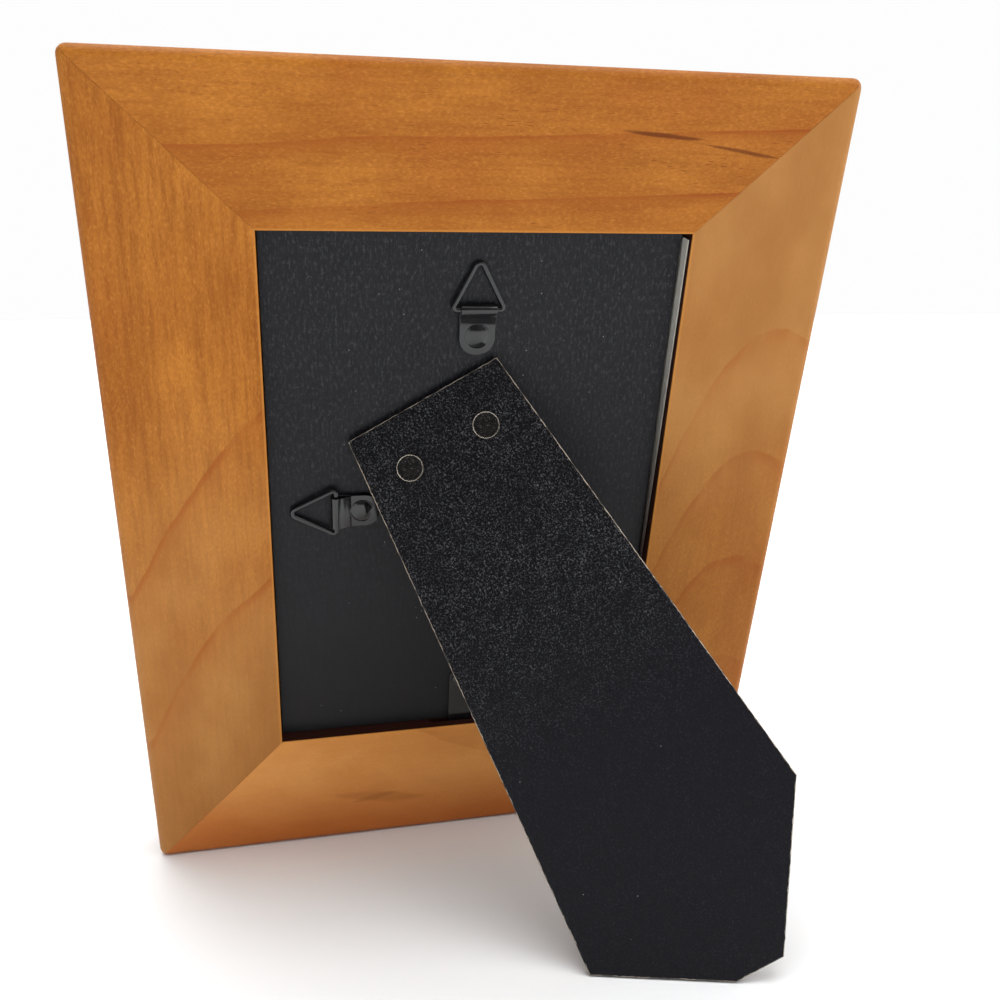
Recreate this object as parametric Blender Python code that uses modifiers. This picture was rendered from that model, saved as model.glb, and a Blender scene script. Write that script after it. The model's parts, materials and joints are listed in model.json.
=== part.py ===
"""Coin display frame: a mitred wooden frame that stands on its easel leg.

Run it with blender --background --python part.py, or from Blender's text editor.

Everything is modelled in the frame's own coordinates, under one empty that then leans it
back: X across (to the left when seen from behind), Y out of the back, Z up. Their origin
is the centre of the rebate opening, level with the rails' inner back edge.
"""

import math

import bmesh
import bpy
from mathutils import Euler, Matrix, Vector

MM = 0.001
GAP = 0.3 * MM  # left between pieces that touch
DEG = math.radians(1)

# Frame rails, in the rail's section: "out" is the distance outward from the rebate wall
OPENING_WIDTH = 127 * MM
OPENING_HEIGHT = 178 * MM
RAIL_WIDTH = 45 * MM
ARRIS_RADIUS = 0.4 * MM
BACK_RISE = 4.9 * MM  # height the back's curve would reach at BACK_CREST
BACK_CREST = 90 * MM
BACK_EDGE_RADIUS = 3 * MM
FRONT_RISE = 3 * MM
FRONT_CREST = 60 * MM
FRONT_EDGE_RADIUS = 4 * MM
SIDE_TAPER = 2 * MM
LIP = 5 * MM  # how far the front lip covers the glazing
BEAD_DEPTH = 21.6 * MM
BEAD_START = 0.8 * MM  # where the bead meets the rail's front
BEAD_COVE = 1.1 * MM  # depth of the cove beside it
BEAD_RADII = (0.8 * MM, 1.7 * MM)
FACE_DEPTH = 21 * MM
LIP_BACK = 17.6 * MM

# What the rebate holds, from the back to the front
BOARD_RECESS = 4.5 * MM
BOARD_THICKNESS = 2.5 * MM
BOARD_SIDE_GAP = 1.5 * MM  # the board is cut short on this side
FILLER_THICKNESS = 2 * MM
FLAP_THICKNESS = 0.5 * MM  # the filler is folded up beside the board's short side
FLAP_TOPS = (-1.3 * MM, -4.6 * MM)  # its upper edge, at its top and bottom corners
FLAP_LENGTH = 174 * MM
TRAY_THICKNESS = 3.6 * MM
MAT_THICKNESS = 1.5 * MM
GLAZING_THICKNESS = 2 * MM
TONGUE_WIDTH = 14 * MM
TONGUE_REACH = 2.5 * MM
TONGUE_SPACING = 70 * MM
KERF_OVERCUT = 2 * MM

COIN_RADIUS = 19.05 * MM
COIN_THICKNESS = 2.8 * MM
COIN_RIM = 1.4 * MM
COIN_FIELD = 0.35 * MM
COIN_EDGE = 0.25 * MM
COIN_SPACING = 52 * MM
COIN_COLUMNS = 2
COIN_ROWS = 3
POCKET_DEPTH = 3.2 * MM
WINDOW_RADIUS = 18.2 * MM
WINDOW_BEVEL = 1.2 * MM
WINDOW_OVERCUT = 0.5 * MM

# Keys inside the mitres
SPLINE_LENGTH = 26 * MM
SPLINE_WIDTH = 16 * MM
SPLINE_THICKNESS = 3 * MM
SPLINE_OUT = 23 * MM
SPLINE_DEPTH = 10 * MM

# Triangle hangers, about the wire's axis in the strap's knuckle
WIRE_RADIUS = 0.8 * MM
RING_HEIGHT = 14.0 * MM
RING_WIDTH = 16.2 * MM
RING_CORNER = 1 * MM
RING_TIP = 1.6 * MM
RING_TILT = 4 * DEG  # until its tip lies on the board
STRAP_WIDTH = 11 * MM
STRAP_LENGTH = 14 * MM
STRAP_THICKNESS = 1.4 * MM
STRAP_CORNER = 5 * MM
STRAP_RIVET = 8.2 * MM
STRAP_KNUCKLE = 1.75 * MM
STRAP_BORE = 0.95 * MM
HANGER_RIVET_HEAD = 3.85 * MM
HANGER_TOP_Z = 65.6 * MM
HANGER_SIDE_X = 43.0 * MM

CLIP_Z = -71 * MM
CLIP_REACH = 21 * MM
CLIP_WIDTH = 8 * MM
CLIP_THICKNESS = 0.8 * MM
CLIP_KERF = 1.8 * MM
CLIP_ROUNDING = 0.98  # of half its width
CLIP_RIVET_HEAD = 3.2 * MM

# Easel leg and its hinge, about the pin's axis
HINGE_X = 12.6 * MM
HINGE_Z = 31.1 * MM
HINGE_SLANT = 30.3 * DEG
LEG_OPEN = 35 * DEG
PIN_LIFT = 2.2 * MM  # pin's axis above the board
LEG_LIFT = 2 * MM  # leg's inner face above the pin's axis
PIN_RADIUS = 0.8 * MM
PIN_HEAD_RADIUS = 1.3 * MM
PIN_HEAD = 0.7 * MM
KNUCKLE_BORE = 0.88 * MM
KNUCKLE_RADIUS = 1.6 * MM
KNUCKLE_HALF = 8 * MM  # where the middle knuckle meets the outer two
LEAF_WIDTH = 40 * MM
LEAF_LENGTH = 22 * MM
LEAF_THICKNESS = 0.8 * MM
LEG_THICKNESS = 2.6 * MM
LEG_CORNER = 0.4 * MM
LEG_TOP_WIDTH = 52.5 * MM
LEG_LENGTH = 194.5 * MM
LEG_FOOT = (39.2 * MM, 173.3 * MM)  # corner on the floor: across, down from the top edge
LEG_KNEE = (-42.4 * MM, 151.2 * MM)  # the same corner when the frame lies on its side
LEG_RIVET_DOWN = 16.6 * MM
LEG_RIVET_ACROSS = 13.3 * MM
LEG_RIVET_HEAD = 4.15 * MM
LEG_RIVET_HEIGHT = 0.9 * MM
LEG_RIVET_DISH = (2.9 * MM, 0.3 * MM)  # radius and depth
LEG_RIVET_RIM = (3.3 * MM, 3.8 * MM)  # its flat top's radii
BOARD_RIVET_DOWN = 15.5 * MM
BOARD_RIVET_ACROSS = 5 * MM
BOARD_RIVET_HEAD = 2.8 * MM

SHANK_RADIUS = 1.2 * MM
HOLE_RADIUS = 1.5 * MM
TAIL_RADIUS = 2.4 * MM
TAIL_THICKNESS = 0.6 * MM
COUNTERBORE_RADIUS = 2.9 * MM
COUNTERBORE_DEPTH = 1 * MM
RIVET_RISE = 1.1 * MM
RIVET_EDGE = 0.35 * MM
OVERCUT = 5 * MM  # how far a hole's cutter runs past its metal

ROUND = 24  # sides of a small round piece
COIN_SIDES = 40

BOARD_BACK = -BOARD_RECESS
BOARD_FRONT = BOARD_BACK - BOARD_THICKNESS
FILLER_BACK = BOARD_FRONT - GAP
TRAY_BACK = FILLER_BACK - FILLER_THICKNESS - GAP
TRAY_FRONT = TRAY_BACK - TRAY_THICKNESS
MAT_BACK = TRAY_FRONT - GAP
GLAZING_BACK = MAT_BACK - MAT_THICKNESS - GAP
# The leg opens until its top edge meets the board
LEG_ABOVE_PIN = (PIN_LIFT - GAP + LEG_LIFT * math.cos(LEG_OPEN)) / math.sin(LEG_OPEN)

for old in list(bpy.data.objects):
    bpy.data.objects.remove(old, do_unlink=True)

parts = bpy.data.collections.new("coin_display_frame")
cutters = bpy.data.collections.new("cutters")
for collection in (parts, cutters):
    bpy.context.scene.collection.children.link(collection)


# ---------------------------------------------------------------- materials


def material(name, color, roughness, metallic=0.0, alpha=1.0):
    made = bpy.data.materials.new(name)
    made.use_nodes = True
    shader = made.node_tree.nodes["Principled BSDF"]
    shader.inputs["Base Color"].default_value = (*color, 1)
    shader.inputs["Roughness"].default_value = roughness
    shader.inputs["Metallic"].default_value = metallic
    shader.inputs["Alpha"].default_value = alpha
    made.diffuse_color = (*color, alpha)
    return made


def stained_wood():
    return material("stained_wood", (0.49, 0.19, 0.048), 0.45)


def black_board():
    return material("black_board", (0.014, 0.014, 0.015), 0.5)


def leatherette():
    return material("leatherette", (0.009, 0.009, 0.01), 0.55)


def japanned_steel():
    return material("japanned_steel", (0.02, 0.02, 0.022), 0.3, 0.6)


def rivet_brass():
    return material("rivet_brass", (0.55, 0.47, 0.33), 0.35, 1.0)


def coin_silver():
    return material("coin_silver", (0.72, 0.71, 0.69), 0.28, 1.0)


# ---------------------------------------------------------------- shape helpers


def rounded(corners, steps=6):
    """The outline through (x, y, radius) corners, each one rounded to its radius."""
    outline = []
    for i, (x, y, radius) in enumerate(corners):
        corner = Vector((x, y))
        if not radius:
            outline.append(corner)
            continue
        before = (Vector(corners[i - 1][:2]) - corner).normalized()
        after = (Vector(corners[(i + 1) % len(corners)][:2]) - corner).normalized()
        half = before.angle(after) / 2
        centre = corner + (before + after).normalized() * radius / math.sin(half)
        start = corner + before * radius / math.tan(half) - centre
        stop = corner + after * radius / math.tan(half) - centre
        for k in range(steps + 1):
            spoke = start.lerp(stop, k / steps).normalized() * radius
            outline.append(centre + spoke)
    return outline


def welded(mesh):
    """Joins a mesh's loose caps to its walls and turns its faces out."""
    shape = bmesh.new()
    shape.from_mesh(mesh)
    bmesh.ops.remove_doubles(shape, verts=shape.verts, dist=0.001 * MM)
    bmesh.ops.recalc_face_normals(shape, faces=shape.faces)
    shape.to_mesh(mesh)
    shape.free()
    return mesh


def mesh_of_curve(curve):
    guide = bpy.data.objects.new(curve.name, curve)
    bpy.context.scene.collection.objects.link(guide)
    graph = bpy.context.evaluated_depsgraph_get()
    mesh = bpy.data.meshes.new_from_object(guide.evaluated_get(graph))
    mesh.name = curve.name
    bpy.data.objects.remove(guide)
    return welded(mesh)


def slab(name, outline, thickness):
    """A flat piece: the outline in X and Y, its thickness half on each side of Z = 0."""
    curve = bpy.data.curves.new(name, "CURVE")
    curve.dimensions = "2D"
    curve.fill_mode = "BOTH"
    curve.extrude = thickness / 2
    spline = curve.splines.new("POLY")
    spline.points.add(len(outline) - 1)
    spline.use_cyclic_u = True
    for point, (x, y) in zip(spline.points, outline):
        point.co = (x, y, 0, 1)
    return mesh_of_curve(curve)


def box(name, low, high):
    low, high = Vector(low), Vector(high)
    place = Matrix.Translation((low + high) / 2) @ Matrix.Diagonal((*(high - low), 1))
    shape = bmesh.new()
    bmesh.ops.create_cube(shape, size=1, matrix=place)
    mesh = bpy.data.meshes.new(name)
    shape.to_mesh(mesh)
    shape.free()
    return mesh


def cone(name, radius_low, radius_high, low, high, axis="Z", sides=ROUND):
    """A cylinder or cone about the axis, from one height on it to another."""
    turn = {"X": Euler((0, 90 * DEG, 0)), "Y": Euler((-90 * DEG, 0, 0)), "Z": Euler()}[axis]
    place = turn.to_matrix().to_4x4() @ Matrix.Translation((0, 0, (low + high) / 2))
    shape = bmesh.new()
    bmesh.ops.create_cone(
        shape,
        cap_ends=True,
        segments=sides,
        radius1=radius_low,
        radius2=radius_high,
        depth=high - low,
        matrix=place,
    )
    mesh = bpy.data.meshes.new(name)
    shape.to_mesh(mesh)
    shape.free()
    return mesh


def turned(name, profile, sides=ROUND):
    """A Screw object whose profile, (radius, height), runs from the top down. Its axis
    points out of the back."""
    mesh = bpy.data.meshes.new(name)
    points = [(radius, 0, height) for radius, height in profile]
    mesh.from_pydata(points, [(i, i + 1) for i in range(len(points) - 1)], [])
    obj = bpy.data.objects.new(name, mesh)
    screw = obj.modifiers.new("turn", "SCREW")
    screw.steps = screw.render_steps = sides
    screw.use_merge_vertices = True
    screw.merge_threshold = 0.001 * MM
    screw.use_smooth_shade = False
    return obj


def part(obj, look, parent, location=(0, 0, 0), rotation=(0, 0, 0)):
    """Puts a mesh or an object in the assembly, under its parent empty."""
    if isinstance(obj, bpy.types.Mesh):
        obj = bpy.data.objects.new(obj.name, obj)
    obj.data.materials.append(look)
    parts.objects.link(obj)
    obj.parent = parent
    obj.location = location
    obj.rotation_euler = rotation
    return obj


def boolean(obj, mesh, operation, parent=None, location=(0, 0, 0), rotation=(0, 0, 0)):
    """Cuts or joins a mesh that lies in obj's own coordinates, or under parent if given."""
    other = bpy.data.objects.new(mesh.name, mesh)
    cutters.objects.link(other)
    other.parent = parent or obj
    other.location = location
    other.rotation_euler = rotation
    other.hide_render = True
    other.display_type = "WIRE"
    modifier = obj.modifiers.new(mesh.name, "BOOLEAN")
    modifier.operation = operation
    modifier.object = other


def empty(name, parent=None, location=(0, 0, 0), rotation=(0, 0, 0)):
    made = bpy.data.objects.new(name, None)
    parts.objects.link(made)
    made.parent = parent
    made.location = location
    made.rotation_euler = rotation
    return made


# ---------------------------------------------------------------- rails and their keys


def back_height(out):
    """How far the rail's gently crowned back stands above its inner edge."""
    return BACK_RISE * (1 - (1 - out / BACK_CREST) ** 2)


def front_depth(out):
    return -FACE_DEPTH - FRONT_RISE * (1 - (1 - out / FRONT_CREST) ** 2)


def rail_section():
    """The moulding: crowned back, rounded outer edges, beaded front lip and rebate."""
    side = RAIL_WIDTH
    front_side = RAIL_WIDTH - SIDE_TAPER
    back = [(out * MM, back_height(out * MM), 0) for out in range(6, 37, 6)]
    front = [(out * MM, front_depth(out * MM), 0) for out in range(36, 5, -6)]
    bead = [
        (BEAD_START, front_depth(BEAD_START), 0),
        (-BEAD_START, BEAD_COVE - BEAD_DEPTH, 0),
        (-1.3 * MM, -BEAD_DEPTH, BEAD_RADII[0]),
        (-LIP, -BEAD_DEPTH, BEAD_RADII[1]),
        (-LIP, -LIP_BACK, 0),
    ]
    return rounded(
        [(0, 0, ARRIS_RADIUS)]
        + back
        + [(side, back_height(side), BACK_EDGE_RADIUS)]
        + [(front_side, front_depth(front_side), FRONT_EDGE_RADIUS)]
        + front
        + bead
        + [(0, -LIP_BACK, 0)]
    )


def rail(name, turn, out, half_length, look, parent):
    """A rail whose section's X points outward once it is turned about Y."""
    mesh = slab(name, rail_section(), half_length)
    for vertex in mesh.vertices:
        # A mitre: each end runs out as far as the section does
        end = half_length + vertex.co.x - GAP / math.sqrt(2)
        vertex.co.z = math.copysign(end, vertex.co.z)
    outward = Euler((0, turn, 0)).to_matrix() @ Vector((out, 0, 0))
    return part(mesh, look, parent, outward, (0, turn, 0))


def spline_box(name, clearance):
    half = Vector((SPLINE_LENGTH, SPLINE_THICKNESS, SPLINE_WIDTH)) / 2
    half += Vector((clearance,) * 3)
    return box(name, -half, half)


def rails(parent):
    look = stained_wood()
    key_look = material("spline_beech", (0.55, 0.4, 0.24), 0.7)
    wide, high = OPENING_WIDTH / 2, OPENING_HEIGHT / 2
    left = rail("rail_left", 0, wide, high, look, parent)
    top = rail("rail_top", -90 * DEG, high, wide, look, parent)
    right = rail("rail_right", 180 * DEG, wide, high, look, parent)
    bottom = rail("rail_bottom", 90 * DEG, high, wide, look, parent)
    corners = ((top, left, 1, 1), (top, right, -1, 1), (bottom, right, -1, -1), (bottom, left, 1, -1))
    for number, (one, other, x, z) in enumerate(corners, 1):
        where = (x * (wide + SPLINE_OUT), -SPLINE_DEPTH, z * (high + SPLINE_OUT))
        along_mitre = (0, -math.atan2(z, x), 0)
        name = f"corner_spline_{number}"
        part(spline_box(name, 0), key_look, parent, where, along_mitre)
        for cut_rail in (one, other):
            slot = spline_box(f"slot_{number}", GAP)
            boolean(cut_rail, slot, "DIFFERENCE", parent, where, along_mitre)
    # The board's two tongues go into kerfs in the top rail
    for x in (-TONGUE_SPACING / 2, TONGUE_SPACING / 2):
        reach = TONGUE_WIDTH / 2 + 2 * GAP
        kerf = box(
            "tongue_kerf",
            (x - reach, BOARD_FRONT - GAP, high - KERF_OVERCUT),
            (x + reach, BOARD_BACK + GAP, high + TONGUE_REACH + 2 * GAP),
        )
        boolean(top, kerf, "DIFFERENCE", parent)
    # The turn clip's end sweeps through a kerf cut by a disc about the clip's rivet
    kerf = cone("clip_kerf", *[CLIP_REACH + 2 * GAP] * 2, 0, CLIP_KERF, "Y", COIN_SIDES)
    boolean(bottom, kerf, "DIFFERENCE", parent, (0, BOARD_BACK - GAP, CLIP_Z))


# ---------------------------------------------------------------- what the rebate holds


def sheet(name, back, thickness):
    """A flat sheet that fills the rebate."""
    x = OPENING_WIDTH / 2 - GAP
    z = OPENING_HEIGHT / 2 - GAP
    return box(name, (-x, back - thickness, -z), (x, back, z))


def filler_flap():
    """The strip of the filler that is folded up beside the board. Its edge is torn aslant."""
    x = GAP * 1.2 - OPENING_WIDTH / 2
    low = FILLER_BACK - FILLER_THICKNESS / 2
    half = FLAP_LENGTH / 2
    flap = box("filler_flap", (x, low, -half), (x + FLAP_THICKNESS, 0, half))
    for corner in flap.vertices:
        if corner.co.y > low / 2:
            corner.co.y = FLAP_TOPS[0] if corner.co.z > 0 else FLAP_TOPS[1]
    return flap


def coin_places():
    for row in range(COIN_ROWS):
        for column in range(COIN_COLUMNS):
            x = (column - (COIN_COLUMNS - 1) / 2) * COIN_SPACING
            z = ((COIN_ROWS - 1) / 2 - row) * COIN_SPACING
            yield -x, z


def coin_profile():
    half = COIN_THICKNESS / 2
    field = half - COIN_FIELD
    inner = COIN_RADIUS - COIN_RIM
    upper = [
        (0, field),
        (inner - COIN_EDGE, field),
        (inner, half),
        (COIN_RADIUS - COIN_EDGE, half),
        (COIN_RADIUS, half - COIN_EDGE),
    ]
    return upper + [(radius, -height) for radius, height in reversed(upper)]


def contents(parent):
    glass = material("glass", (0.9, 0.95, 0.93), 0.04, alpha=0.35)
    part(sheet("glazing", GLAZING_BACK, GLAZING_THICKNESS), glass, parent)
    card = material("mat_card", (0.78, 0.74, 0.66), 0.9)
    mat = part(sheet("mat", MAT_BACK, MAT_THICKNESS), card, parent)
    felt = material("tray_felt", (0.02, 0.035, 0.09), 0.95)
    tray = part(sheet("coin_tray", TRAY_BACK, TRAY_THICKNESS), felt, parent)
    pale = material("filler_card", (0.62, 0.58, 0.52), 0.9)
    filler = part(sheet("filler_board", FILLER_BACK, FILLER_THICKNESS), pale, parent)
    boolean(filler, filler_flap(), "UNION")
    silver = coin_silver()
    floor = TRAY_FRONT + POCKET_DEPTH
    for number, (x, z) in enumerate(coin_places(), 1):
        low, high = MAT_BACK - MAT_THICKNESS, MAT_BACK
        slope = WINDOW_BEVEL / MAT_THICKNESS
        over = WINDOW_OVERCUT
        window = cone(
            "window",
            WINDOW_RADIUS + (MAT_THICKNESS + over) * slope,
            WINDOW_RADIUS - over * slope,
            low - over,
            high + over,
            "Y",
            COIN_SIDES,
        )
        boolean(mat, window, "DIFFERENCE", parent, (x, 0, z))
        pocket_radius = COIN_RADIUS + GAP
        front = TRAY_FRONT - over
        pocket = cone("pocket", pocket_radius, pocket_radius, front, floor, "Y", COIN_SIDES)
        boolean(tray, pocket, "DIFFERENCE", parent, (x, 0, z))
        coin = turned(f"coin_{number}", coin_profile(), COIN_SIDES)
        middle = floor - GAP - COIN_THICKNESS / 2
        # Turned over, so that the coin's own top faces the front
        part(coin, silver, parent, (x, middle, z), (90 * DEG, 0, 0))


def backing_board(parent):
    """The board that closes the back, with two tongues on its top edge."""
    x = OPENING_WIDTH / 2 - GAP
    short = OPENING_WIDTH / 2 - BOARD_SIDE_GAP
    z = OPENING_HEIGHT / 2 - GAP
    tip = OPENING_HEIGHT / 2 + TONGUE_REACH
    near = (TONGUE_SPACING - TONGUE_WIDTH) / 2
    far = near + TONGUE_WIDTH
    right = [(-near, z), (-near, tip), (-far, tip), (-far, z), (-short, z), (-short, -z)]
    left = [(x, -z), (x, z), (far, z), (far, tip), (near, tip), (near, z)]
    mesh = slab("backing_board", right + left, BOARD_THICKNESS)
    upright = Matrix.Rotation(90 * DEG, 4, "X")
    mesh.transform(Matrix.Translation((0, BOARD_BACK - BOARD_THICKNESS / 2, 0)) @ upright)
    return part(mesh, black_board(), parent)


# ---------------------------------------------------------------- rivets


def dome(radius, low):
    """A low domed head, from its crown down to its underside."""
    crown = low + RIVET_RISE
    return [
        (0, crown),
        (radius * 0.45, crown - RIVET_RISE * 0.06),
        (radius * 0.75, crown - RIVET_RISE * 0.22),
        (radius * 0.93, low + RIVET_EDGE * 1.3),
        (radius, low + RIVET_EDGE * 0.5),
        (radius - RIVET_EDGE * 0.4, low),
    ]


def tail(top):
    """The shank down to a spread tail whose upper face is at this height."""
    low = top - TAIL_THICKNESS
    return [(SHANK_RADIUS, top), (TAIL_RADIUS, top), (TAIL_RADIUS, low), (0, low)]


def rivet_to_board(name, look, board, parent, location, head_radius, stack):
    """A rivet through a stack of metal on the board, its tail sunk in the board's front.
    Its heights are above the board's back, and the hole is cut here too."""
    low = stack + GAP
    profile = dome(head_radius, low)
    profile += [(SHANK_RADIUS, low)]
    profile += tail(COUNTERBORE_DEPTH - BOARD_THICKNESS - GAP)
    rivet = part(turned(name, profile), look, parent, location, (-90 * DEG, 0, 0))
    sink_floor = COUNTERBORE_DEPTH - BOARD_THICKNESS
    for radius, high in ((HOLE_RADIUS, MM), (COUNTERBORE_RADIUS, sink_floor)):
        hole = cone(f"{name}_hole", radius, radius, -2 * BOARD_THICKNESS, high)
        boolean(board, hole, "DIFFERENCE", rivet)


# ---------------------------------------------------------------- hangers


def ring_wire(name):
    """The triangular wire loop. Its base lies on the axis and its tip points up Z."""
    half = RING_WIDTH / 2
    corners = [
        (-half, 0, RING_CORNER),
        (half, 0, RING_CORNER),
        (0, RING_HEIGHT + RING_TIP, RING_TIP),
    ]
    curve = bpy.data.curves.new(name, "CURVE")
    curve.dimensions = "3D"
    curve.bevel_depth = WIRE_RADIUS
    curve.bevel_resolution = 3
    spline = curve.splines.new("POLY")
    outline = rounded(corners, 5)
    spline.points.add(len(outline) - 1)
    spline.use_cyclic_u = True
    for point, (x, z) in zip(spline.points, outline):
        point.co = (x, 0, z, 1)
    return mesh_of_curve(curve)


def strap(name):
    """A folded strap: a plate with a knuckle along its top for the wire. Z = 0 and the
    knuckle's height are the wire's axis; Y is out of the back, from that axis."""
    lift = GAP + STRAP_KNUCKLE
    half = STRAP_WIDTH / 2
    outline = rounded(
        [
            (-half, -STRAP_LENGTH, STRAP_CORNER),
            (half, -STRAP_LENGTH, STRAP_CORNER),
            (half, 0, 0),
            (-half, 0, 0),
        ]
    )
    mesh = slab(name, outline, STRAP_THICKNESS)
    upright = Matrix.Rotation(90 * DEG, 4, "X")
    middle = GAP + STRAP_THICKNESS / 2 - lift
    mesh.transform(Matrix.Translation((0, middle, 0)) @ upright)
    return mesh


def hanger(name, look, board, parent, location, turn):
    """Strap, ring and rivet. The empty is on the wire's axis, its Z towards the tip."""
    lift = GAP + STRAP_KNUCKLE
    x, z = location
    pivot = empty(f"{name}_axis", parent, (x, BOARD_BACK + lift, z), (0, turn, 0))
    body = part(strap(f"{name}_strap"), look, pivot)
    half = STRAP_WIDTH / 2
    knuckle = cone("knuckle", STRAP_KNUCKLE, STRAP_KNUCKLE, -half, half, "X")
    boolean(body, knuckle, "UNION")
    bore = cone("wire_bore", STRAP_BORE, STRAP_BORE, -half - MM, half + MM, "X")
    boolean(body, bore, "DIFFERENCE")
    hole = cone("rivet_hole", HOLE_RADIUS, HOLE_RADIUS, -OVERCUT, OVERCUT, "Y")
    boolean(body, hole, "DIFFERENCE", location=(0, 0, -STRAP_RIVET))
    part(ring_wire(f"{name}_ring"), look, pivot, rotation=(RING_TILT, 0, 0))
    rivet_to_board(
        f"{name}_rivet",
        look,
        board,
        pivot,
        (0, -lift, -STRAP_RIVET),
        HANGER_RIVET_HEAD,
        GAP + STRAP_THICKNESS,
    )


# ---------------------------------------------------------------- turn clip


def turn_clip(look, board, parent):
    """A clip that turns on its rivet. Its lower end sits in the bottom rail's kerf."""
    pivot = empty("turn_clip_axis", parent, (0, BOARD_BACK, CLIP_Z))
    half = CLIP_WIDTH / 2
    ends = [(-half, -CLIP_REACH), (half, -CLIP_REACH), (half, half + MM), (-half, half + MM)]
    outline = rounded([(x, z, CLIP_ROUNDING * half) for x, z in ends])
    mesh = slab("turn_clip", outline, CLIP_THICKNESS)
    upright = Matrix.Rotation(90 * DEG, 4, "X")
    mesh.transform(Matrix.Translation((0, GAP + CLIP_THICKNESS / 2, 0)) @ upright)
    clip = part(mesh, look, pivot)
    hole = cone("clip_hole", HOLE_RADIUS, HOLE_RADIUS, -OVERCUT, OVERCUT, "Y")
    boolean(clip, hole, "DIFFERENCE")
    stack = GAP + CLIP_THICKNESS
    rivet_to_board("turn_clip_rivet", look, board, pivot, (0, 0, 0), CLIP_RIVET_HEAD, stack)


# ---------------------------------------------------------------- easel leg and hinge


def leaf(name, low, high, spans, notches, look, parent, rivet_spots):
    """A hinge leaf: a plate that hangs below the pin, its knuckles and its rivet holes.
    low and high are the plate's faces, spans are the knuckles' ends along X, and
    notches are cut from the plate round the other leaf's knuckles."""
    half = LEAF_WIDTH / 2
    plate = part(box(name, (-half, low, -LEAF_LENGTH), (half, high, 0)), look, parent)
    clear = KNUCKLE_RADIUS + 2 * GAP
    for start, stop in notches:
        notch = box("notch", (start, -OVERCUT, -clear), (stop, OVERCUT, OVERCUT))
        boolean(plate, notch, "DIFFERENCE")
    for start, stop in spans:
        knuckle = cone("knuckle", KNUCKLE_RADIUS, KNUCKLE_RADIUS, start, stop, "X")
        boolean(plate, knuckle, "UNION")
    bore = cone("pin_bore", KNUCKLE_BORE, KNUCKLE_BORE, -half - MM, half + MM, "X")
    boolean(plate, bore, "DIFFERENCE")
    for x, z in rivet_spots:
        hole = cone("rivet_hole", HOLE_RADIUS, HOLE_RADIUS, -OVERCUT, OVERCUT, "Y")
        boolean(plate, hole, "DIFFERENCE", location=(x, 0, z))


def floor_slopes(lean):
    """How the leg's two foot edges run so that each lies flat on the floor: down per
    across for the portrait foot, and across per down for the landscape foot."""
    slant, opened = HINGE_SLANT, LEG_OPEN
    tilt = math.sin(opened) * math.tan(lean)
    portrait = math.sin(slant) / (math.cos(slant) * math.cos(opened) + tilt)
    landscape = (math.sin(slant) * math.cos(opened) + tilt) / math.cos(slant)
    return portrait, landscape


def leg_outline(lean):
    """The leg's corners, clockwise from its top left as seen from behind."""
    portrait, landscape = floor_slopes(lean)
    foot_x, foot_down = LEG_FOOT
    knee_x, knee_down = LEG_KNEE
    corners = [
        (LEG_TOP_WIDTH / 2, 0),
        (-LEG_TOP_WIDTH / 2, 0),
        LEG_KNEE,
        (knee_x + (LEG_LENGTH - knee_down) * landscape, LEG_LENGTH),
        (foot_x - (LEG_LENGTH - foot_down) / portrait, LEG_LENGTH),
        LEG_FOOT,
    ]
    return [(x, LEG_ABOVE_PIN - down, LEG_CORNER) for x, down in corners]


def lean_angle():
    """The lean at which the bottom rail's rounded back edge and the leg's foot share one
    floor: the steepest line from the foot to any point of the rail's section."""
    foot_x, foot_down = LEG_FOOT
    on_leg = Vector((foot_x, LEG_LIFT, LEG_ABOVE_PIN - foot_down))
    opened = Matrix.Rotation(LEG_OPEN, 4, "X")
    slanted = Matrix.Rotation(HINGE_SLANT, 4, "Y")
    pin = Matrix.Translation((HINGE_X, BOARD_BACK + PIN_LIFT, HINGE_Z))
    foot = pin @ slanted @ opened @ on_leg
    bottom = -OPENING_HEIGHT / 2
    return max(
        math.atan2(foot.z - (bottom - out), foot.y - back) for out, back in rail_section()
    )


def leg_rivet(name, look, leg, parent, x, z):
    """A flat head with a raised rim on the leg's outer face, and a tail under the leaf."""
    low = LEG_LIFT + LEG_THICKNESS + GAP
    top = low + LEG_RIVET_HEIGHT
    dish_radius, dish_depth = LEG_RIVET_DISH
    rim_inner, rim_outer = LEG_RIVET_RIM
    profile = [
        (0, top - dish_depth),
        (dish_radius, top - dish_depth),
        (rim_inner, top),
        (rim_outer, top),
        (LEG_RIVET_HEAD, top - RIVET_EDGE),
        (LEG_RIVET_HEAD, low),
        (SHANK_RADIUS, low),
    ]
    profile += tail(LEG_LIFT - 2 * GAP - LEAF_THICKNESS)
    part(turned(name, profile), look, parent, (x, 0, z), (-90 * DEG, 0, 0))
    hole = cone("leg_rivet_hole", HOLE_RADIUS, HOLE_RADIUS, -OVERCUT, 2 * OVERCUT, "Y")
    boolean(leg, hole, "DIFFERENCE", location=(x, 0, z))


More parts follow.
